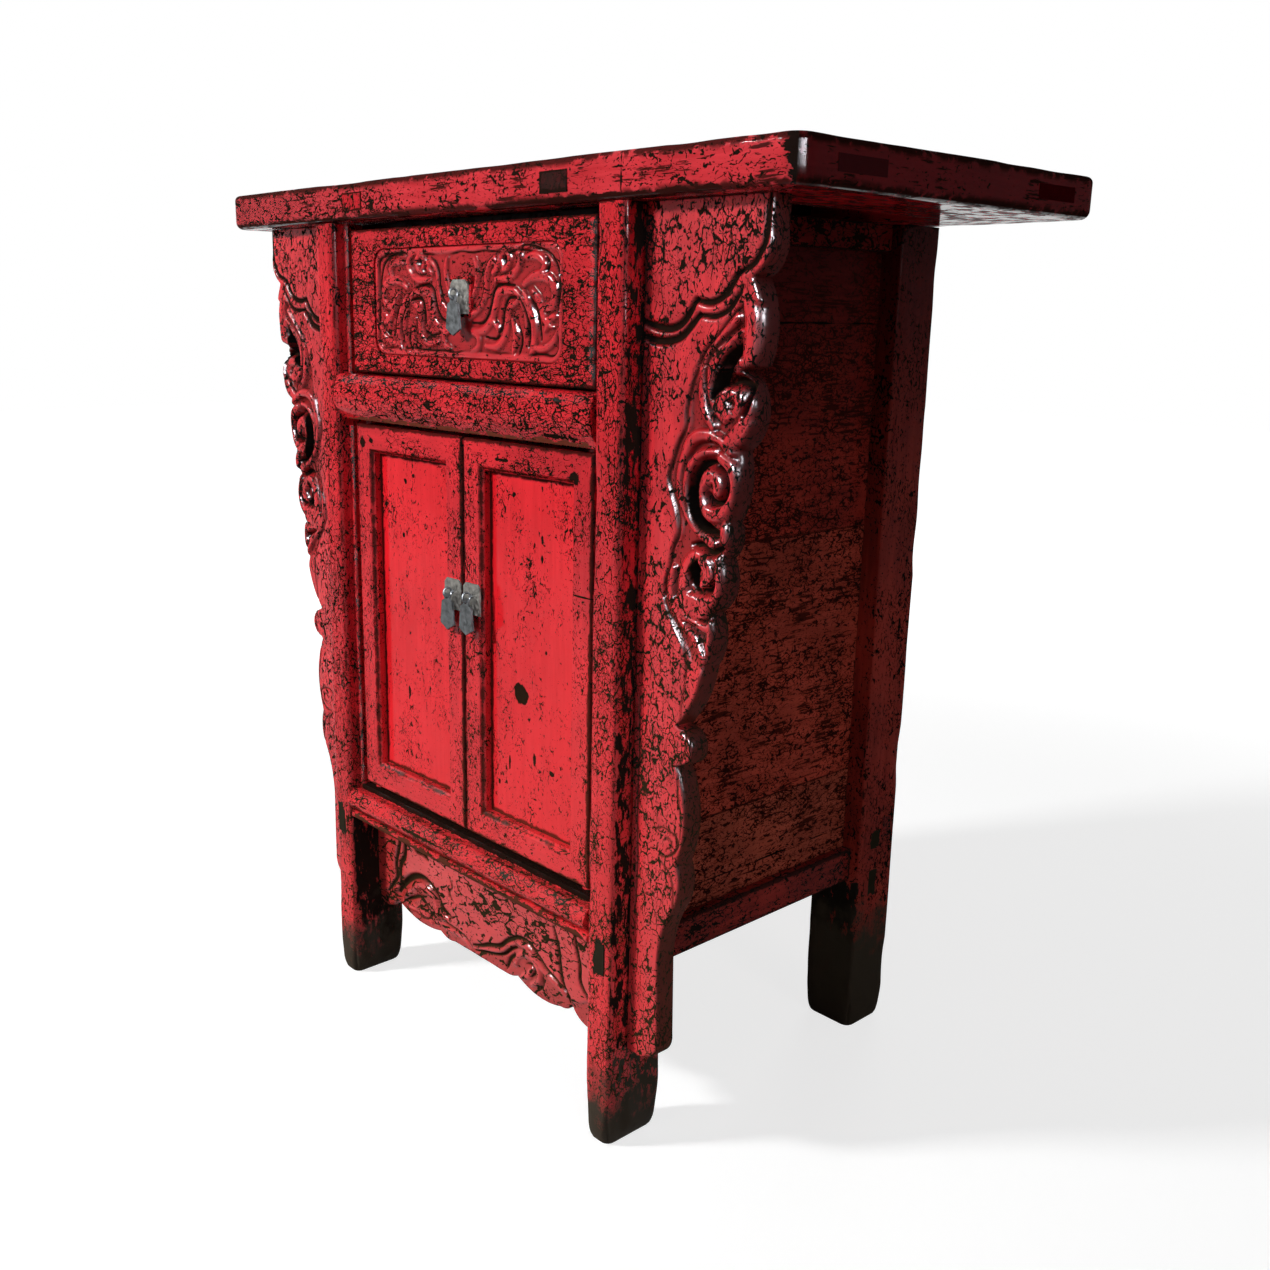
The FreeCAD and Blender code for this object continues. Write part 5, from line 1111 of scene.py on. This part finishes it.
def plain_box(low, high):
    """A small box, such as a tenon's end, as places and faces."""
    x, y, z = (np.array([one, other]) for one, other in zip(low, high))
    places = np.array([(a, b, c) for a in x for b in y for c in z], float)
    faces = [[0, 1, 3, 2], [4, 6, 7, 5], [0, 4, 5, 1], [2, 3, 7, 6], [0, 2, 6, 4], [1, 5, 7, 3]]
    return places, outward(places, faces)


def join_forms(*forms):
    """Several closed forms as one list of places and faces."""
    places, faces, count = [], [], 0
    for more_places, more_faces in forms:
        places.append(more_places)
        faces += [[count + corner for corner in face] for face in more_faces]
        count += len(more_places)
    return np.vstack(places), faces


def bar_piece(name, node, material, *forms):
    """One finished bar that stands for a CAD node of the cabinet."""
    places, faces = join_forms(*forms)
    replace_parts(new_piece(name, places * MM, faces, "cabinet", "red_lacquer", material), node)


def mirrored(hand, low, high, *more):
    """A patch or a shiny place, its box drawn for the right side in millimetres, on the side a hand says."""
    near, far = sorted((hand * low[0], hand * high[0]))
    return ((near, *low[1:]), (far, *high[1:]), *more)


def box_mm(node):
    """A node's lowest and highest corner in millimetres."""
    return [np.array(corner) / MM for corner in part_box(node)]


def upright_bar(low, high, radii, seed, wave, foot=0.0):
    """A bar that stands between two heights: a post, a leg or a bead."""
    return planed_bar(rounded_section(low[:2], high[:2], radii), lambda a: low[2] + 0 * a,
                      lambda a: high[2] + 0 * a, lambda along, a, b: (a, b, along), seed, wave, foot)


BEAD_WIDE, BEAD_BACK, BEAD_DEEP, BEAD_TUCK = 7.5, 12.5, 12.0, 3.0
DOOR_CLEAR = 5.0
POST_FOOT, LEG_FOOT = 18.0, 13.0
BELOW_FLOOR = -0.02
door_floor = box_mm("door_right_hinge_stile")[0][2] - DOOR_CLEAR
mid_low, mid_high = box_mm("mid_rail")
TOP_UNDER = box_mm("top_end_rail_right")[0][2]
for side, hand in (("left", -1.0), ("right", 1.0)):
    low, high = box_mm("front_post_" + side)
    inner = min(abs(low[0]), abs(high[0])) + BEAD_WIDE
    outer = max(abs(low[0]), abs(high[0]))
    near, far = sorted((hand * inner, hand * outer))
    post = upright_bar((near, low[1], 0.0), (far, high[1], TOP_UNDER), (7.0, 7.0, 5.0, 5.0), 21 + hand, 0.7,
                       POST_FOOT)
    ends = sorted((hand * (inner - BEAD_WIDE), hand * (inner + BEAD_TUCK)))
    face = low[1] + BEAD_BACK
    beads = [upright_bar((ends[0], face, foot), (ends[1], face + BEAD_DEEP, head), (3.5, 3.5, 1.0, 1.0),
                         30 + hand, 0.5)
             for foot, head in ((door_floor, mid_low[2]), (mid_high[2], TOP_UNDER))]
    bar_piece("planed_post_" + side, "front_post_" + side, lacquer(
        "planed %s post lacquer" % side,
        ((near * MM, low[1] * MM, BELOW_FLOOR), (far * MM, high[1] * MM, TOP_UNDER * MM)),
        shift=3.1 + hand, cell=0.0062, cracks=0.68, feet=0.058, wear=0.75, wear_reach=0.005, patches=[
            mirrored(hand, (outer - 2.2, -198.0, 60.0), (outer + 0.4, -194.0, 830.0), 1.1, CRACK_BROWN),
            # The outer side's front strip is darkened: partly worn and dirty lacquer, partly painted shade on
            # the side away from the light.
            mirrored(hand, (outer - 0.7, -196.0, 50.0), (outer + 3.0, -172.0, 830.0), 2.6, CRACK_BROWN),
            mirrored(hand, (outer - 0.7, -192.0, -20.0), (outer + 3.0, -120.0, 98.0), 3.0, OLD_DIRT),
            # Painted shade: the post's inner face beside the apron is painted dark, where it lies in shade.
            mirrored(hand, (inner - 1.0, -194.0, -20.0), (inner + 1.2, -120.0, 196.0), 1.0, CRACK_BROWN),
            mirrored(hand, (209.0, -200.0, 188.0), (220.5, -190.0, 207.0), 4.5, BARE_OLIVE),
            mirrored(hand, (206.5, -200.0, 171.0), (217.0, -190.0, 188.0), 5.0, BARE_OLIVE)],
        shiny=[mirrored(hand, (inner - BEAD_WIDE - 1.0, -187.0, 238.0), (inner - 0.5, -170.0, 822.0), 1.0)]),
        post, *beads)
    low, high = box_mm("back_leg_" + side)
    bar_piece("planed_leg_" + side, "back_leg_" + side, lacquer(
        "planed %s leg lacquer" % side,
        ((low[0] * MM, low[1] * MM, BELOW_FLOOR), (high[0] * MM, high[1] * MM, TOP_UNDER * MM)),
        shift=4.3 + hand, reds=LEG_REDS, cell=0.010, cracks=0.35, grain=0.55, feet=0.125, wear=0.6,
        # Painted shade: the leg darkens towards the top, in the shade of the top's overhang.
        gloss=0.05, sheen=0.0, dusky=("Z", 0.45, 0.80, 0.0, 0.90), patches=[
            mirrored(hand, (243.0, 157.0, 203.0), (249.0, 172.0, 222.0), 2.0, BARE_OLIVE),
            mirrored(hand, (243.0, 158.0, 150.0), (249.0, 171.0, 178.0), 2.4, BARE_OLIVE),
            # Painted shadow: the leg's front face below the side rail is painted near black, where the
            # cabinet's body shades it.
            ((hand * 215.0 - 34.0, 130.0, -20.0), (hand * 215.0 + 29.0, 141.5, 168.0), 3.0, PAINTED_SHADOW_BLACK)]),
        upright_bar(low, (high[0], high[1], TOP_UNDER), (4.0, 4.0, 4.0, 4.0), 25 + hand, 0.9, LEG_FOOT))

SLAB_CORNER = 17.0
OPENING_HALF = 300.0
slab_low, slab_high = box_mm("top_front_rail")
slab_high = np.array([slab_high[0], -slab_low[1], slab_high[2]])
half_long, half_deep = slab_high[:2]
rail_wide = half_long - OPENING_HALF
tenon_low, tenon_high = (-159.0, 836.0), (-103.0, 848.0)


def slab_bar(half, place, seed):
    """One mitred member of the top: its section runs inward from the outer face and up from the underside."""
    section = rounded_section((0.0, slab_low[2]), (rail_wide, slab_high[2]), (8.0, 0.6, 0.6, 6.0), 5.0)

    def placed(along, deep, z):
        """Where a place of the section lies in the top, whose corners are rounded."""
        x, y = quarter_rings(*place(along, deep), -slab_high, slab_high, SLAB_CORNER)
        return x, y, z

    return planed_bar(section, lambda deep: deep - half, lambda deep: half - deep, placed, seed, 0.4,
                      step=4.0)


# Each member's last entry is painted shade along an axis: the front rail darkens towards the left, where less
# light falls, and the back rail's back face and the end rails' outer faces darken, as they lie in shade.
slab_parts = (
    ("front_rail", "x", half_long, lambda along, deep: (along, deep - half_deep),
     -1.0, ("X", -0.36, 0.02, 0.5, 0.0)),
    ("back_rail", "x", half_long, lambda along, deep: (-along, half_deep - deep),
     1.0, ("Y", 0.186, 0.1995, 0.0, 0.72)),
    ("end_rail_left", "y", half_deep, lambda along, deep: (deep - half_long, -along),
     0.0, ("X", -0.3985, -0.385, 0.72, 0.0)),
    ("end_rail_right", "y", half_deep, lambda along, deep: (half_long - deep, along),
     0.0, ("X", 0.385, 0.3985, 0.0, 0.72)))
seams = [((228.3, -210.0, 820.0), (229.6, -195.0, 870.0), 0.6, CRACK_BROWN),
         ((388.0, -205.0, 824.0), (404.0, -184.0, 862.0), 5.0, CRACK_BROWN),
         ((60.0, -205.0, 820.0), (330.0, -190.0, 829.0), 2.4, STREAK_BROWN),
         ((-330.0, -205.0, 820.0), (-60.0, -190.0, 828.0), 2.4, STREAK_BROWN)]
# The tenon ends on the top's end faces are painted the dark of those faces: painted shade, like theirs.
tenon_ends = {part: [((hand * half_long - 3.0, low, 831.0), (hand * half_long + 3.0, high, 853.0), 2.2,
                      TENON_MAROON) for hand in (-1.0, 1.0)]
              for part, low, high in (("front_rail", -165.0, -97.0), ("back_rail", 97.0, 165.0))}
UNDER_SHINE = ((-410.0, -210.0, 815.0), (410.0, 210.0, 826.0), 0.8)
slab_corners = ((-half_long * MM, -half_deep * MM, slab_low[2] * MM),
                (half_long * MM, half_deep * MM, slab_high[2] * MM))
for number, (part, along, half, place, tenon_side, dusky) in enumerate(slab_parts):
    forms = [slab_bar(half, place, 41 + number)]
    if tenon_side:
        ends = sorted((-tenon_side * tenon_low[0], -tenon_side * tenon_high[0]))
        forms.append(plain_box((-half_long, ends[0], tenon_low[1]), (half_long, ends[1], tenon_high[1])))
    bright = part == "front_rail"
    look = (dict(reds=TOP_FRONT_REDS, cracks=0.42, fine=0.4, gloss=0.26) if bright
            else dict(reds=TOP_REDS, cracks=0.13, fine=0.15, gloss=0.05, sheen=0.0))
    bar_piece("planed_top_" + part, "top_" + part, lacquer(
        "planed top %s lacquer" % part, slab_corners, shift=11.3 + 1.7 * number, along=along, dusky=dusky,
        cell=0.010, grain=0.70, wear=0.95, wear_reach=0.010, shiny=[UNDER_SHINE],
        patches=(seams if bright else []) + tenon_ends.get(part, []), **look), *forms)


# Floor, backdrop, lights and camera

FLOOR_HALF = 9.0
FLOOR_SHADE = 0.42
FLOOR_GLOW = 0.74
WORLD_SHADE = 0.09
SKY_TINT = (0.94, 0.93, 1.0)

floor_mesh = bpy.data.meshes.new("floor")
floor_mesh.from_pydata([(-FLOOR_HALF, -FLOOR_HALF, 0.0), (FLOOR_HALF, -FLOOR_HALF, 0.0),
                        (FLOOR_HALF, FLOOR_HALF, 0.0), (-FLOOR_HALF, FLOOR_HALF, 0.0)], [], [(0, 1, 2, 3)])
floor = bpy.data.objects.new("floor", floor_mesh)
bpy.context.collection.objects.link(floor)
floor_paint, here, _ = new_material("pale floor")
rays = add_node(floor_paint.node_tree, "LightPath")
glow = ramp(here.length(), 0.9, 2.6, FLOOR_GLOW, 1.0)
finish(floor_paint, Base_Color=(FLOOR_SHADE, FLOOR_SHADE, FLOOR_SHADE), Roughness=1.0, Specular_IOR_Level=0.0,
       Emission_Color=(1.0, 1.0, 1.0),
       Emission_Strength=most(rays["Is Camera Ray"], rays["Is Glossy Ray"]) * glow)
floor_mesh.materials.append(floor_paint)

world = bpy.data.worlds.new("pale room")
bpy.context.scene.world = world
world.use_nodes = True
rays = add_node(world.node_tree, "LightPath")
seen = most(rays["Is Camera Ray"], rays["Is Transmission Ray"], rays["Is Glossy Ray"])
background = world.node_tree.nodes["Background"]
feed(background.inputs["Color"], (1.0, 1.0, 1.0))
feed(background.inputs["Strength"], ramp(seen, 0.0, 1.0, WORLD_SHADE, 1.0))


def area_light(name, place, target, size, power, colour=(1.0, 1.0, 1.0), glossy_only=False):
    """A square lamp at a place that looks at a target; one that is glossy only shows as a reflection."""
    data = bpy.data.lights.new(name, "AREA")
    data.color = colour
    data.shape = "SQUARE"
    data.size = size
    data.energy = power
    lamp = bpy.data.objects.new(name, data)
    lamp.visible_diffuse = not glossy_only
    aim = (Vector(target) - Vector(place)).to_track_quat("-Z", "Y")
    lamp.matrix_world = Matrix.Translation(place) @ aim.to_matrix().to_4x4()
    bpy.context.collection.objects.link(lamp)


area_light("key light", (-1.5, -2.6, 2.0), (0.0, -0.1, 0.45), 0.40, 118.0)
area_light("window glint", (1.5, -2.2, 2.0), (0.1, -0.1, 0.5), 0.9, 1100.0, SKY_TINT, glossy_only=True)
area_light("side glint", (3.0, -0.5, 1.4), (0.2, 0.0, 0.5), 0.6, 400.0, SKY_TINT, glossy_only=True)
area_light("side fill", (3.0, -0.4, 1.2), (0.2, 0.0, 0.5), 0.9, 8.5)
area_light("back fill", (-1.4, 3.0, 1.6), (0.0, 0.1, 0.5), 1.2, 16.0)

PHOTO_SIDE = 1270.0
LENS_PIXELS = 1292.01
CENTRE_U, CENTRE_V = 594.96, 644.34
EYE = Vector((0.97942, -0.90084, 0.73847))
YAW, PITCH, ROLL = (math.radians(angle) for angle in (47.78, -14.26, 0.87))

ahead = Vector((-math.sin(YAW) * math.cos(PITCH), math.cos(YAW) * math.cos(PITCH), math.sin(PITCH)))
level = Vector((math.cos(YAW), math.sin(YAW), 0.0))
upward = level.cross(ahead)
right = math.cos(ROLL) * level + math.sin(ROLL) * upward
above = -math.sin(ROLL) * level + math.cos(ROLL) * upward
camera_data = bpy.data.cameras.new("camera")
camera_data.sensor_width = 36.0
camera_data.lens = LENS_PIXELS / PHOTO_SIDE * camera_data.sensor_width
camera_data.shift_x = (PHOTO_SIDE / 2 - CENTRE_U) / PHOTO_SIDE
camera_data.shift_y = (CENTRE_V - PHOTO_SIDE / 2) / PHOTO_SIDE
camera = bpy.data.objects.new("camera", camera_data)
camera.matrix_world = Matrix.Translation(EYE) @ Matrix((right, above, -ahead)).transposed().to_4x4()
bpy.context.collection.objects.link(camera)
bpy.context.scene.camera = camera
bpy.context.scene.view_settings.view_transform = "Standard"
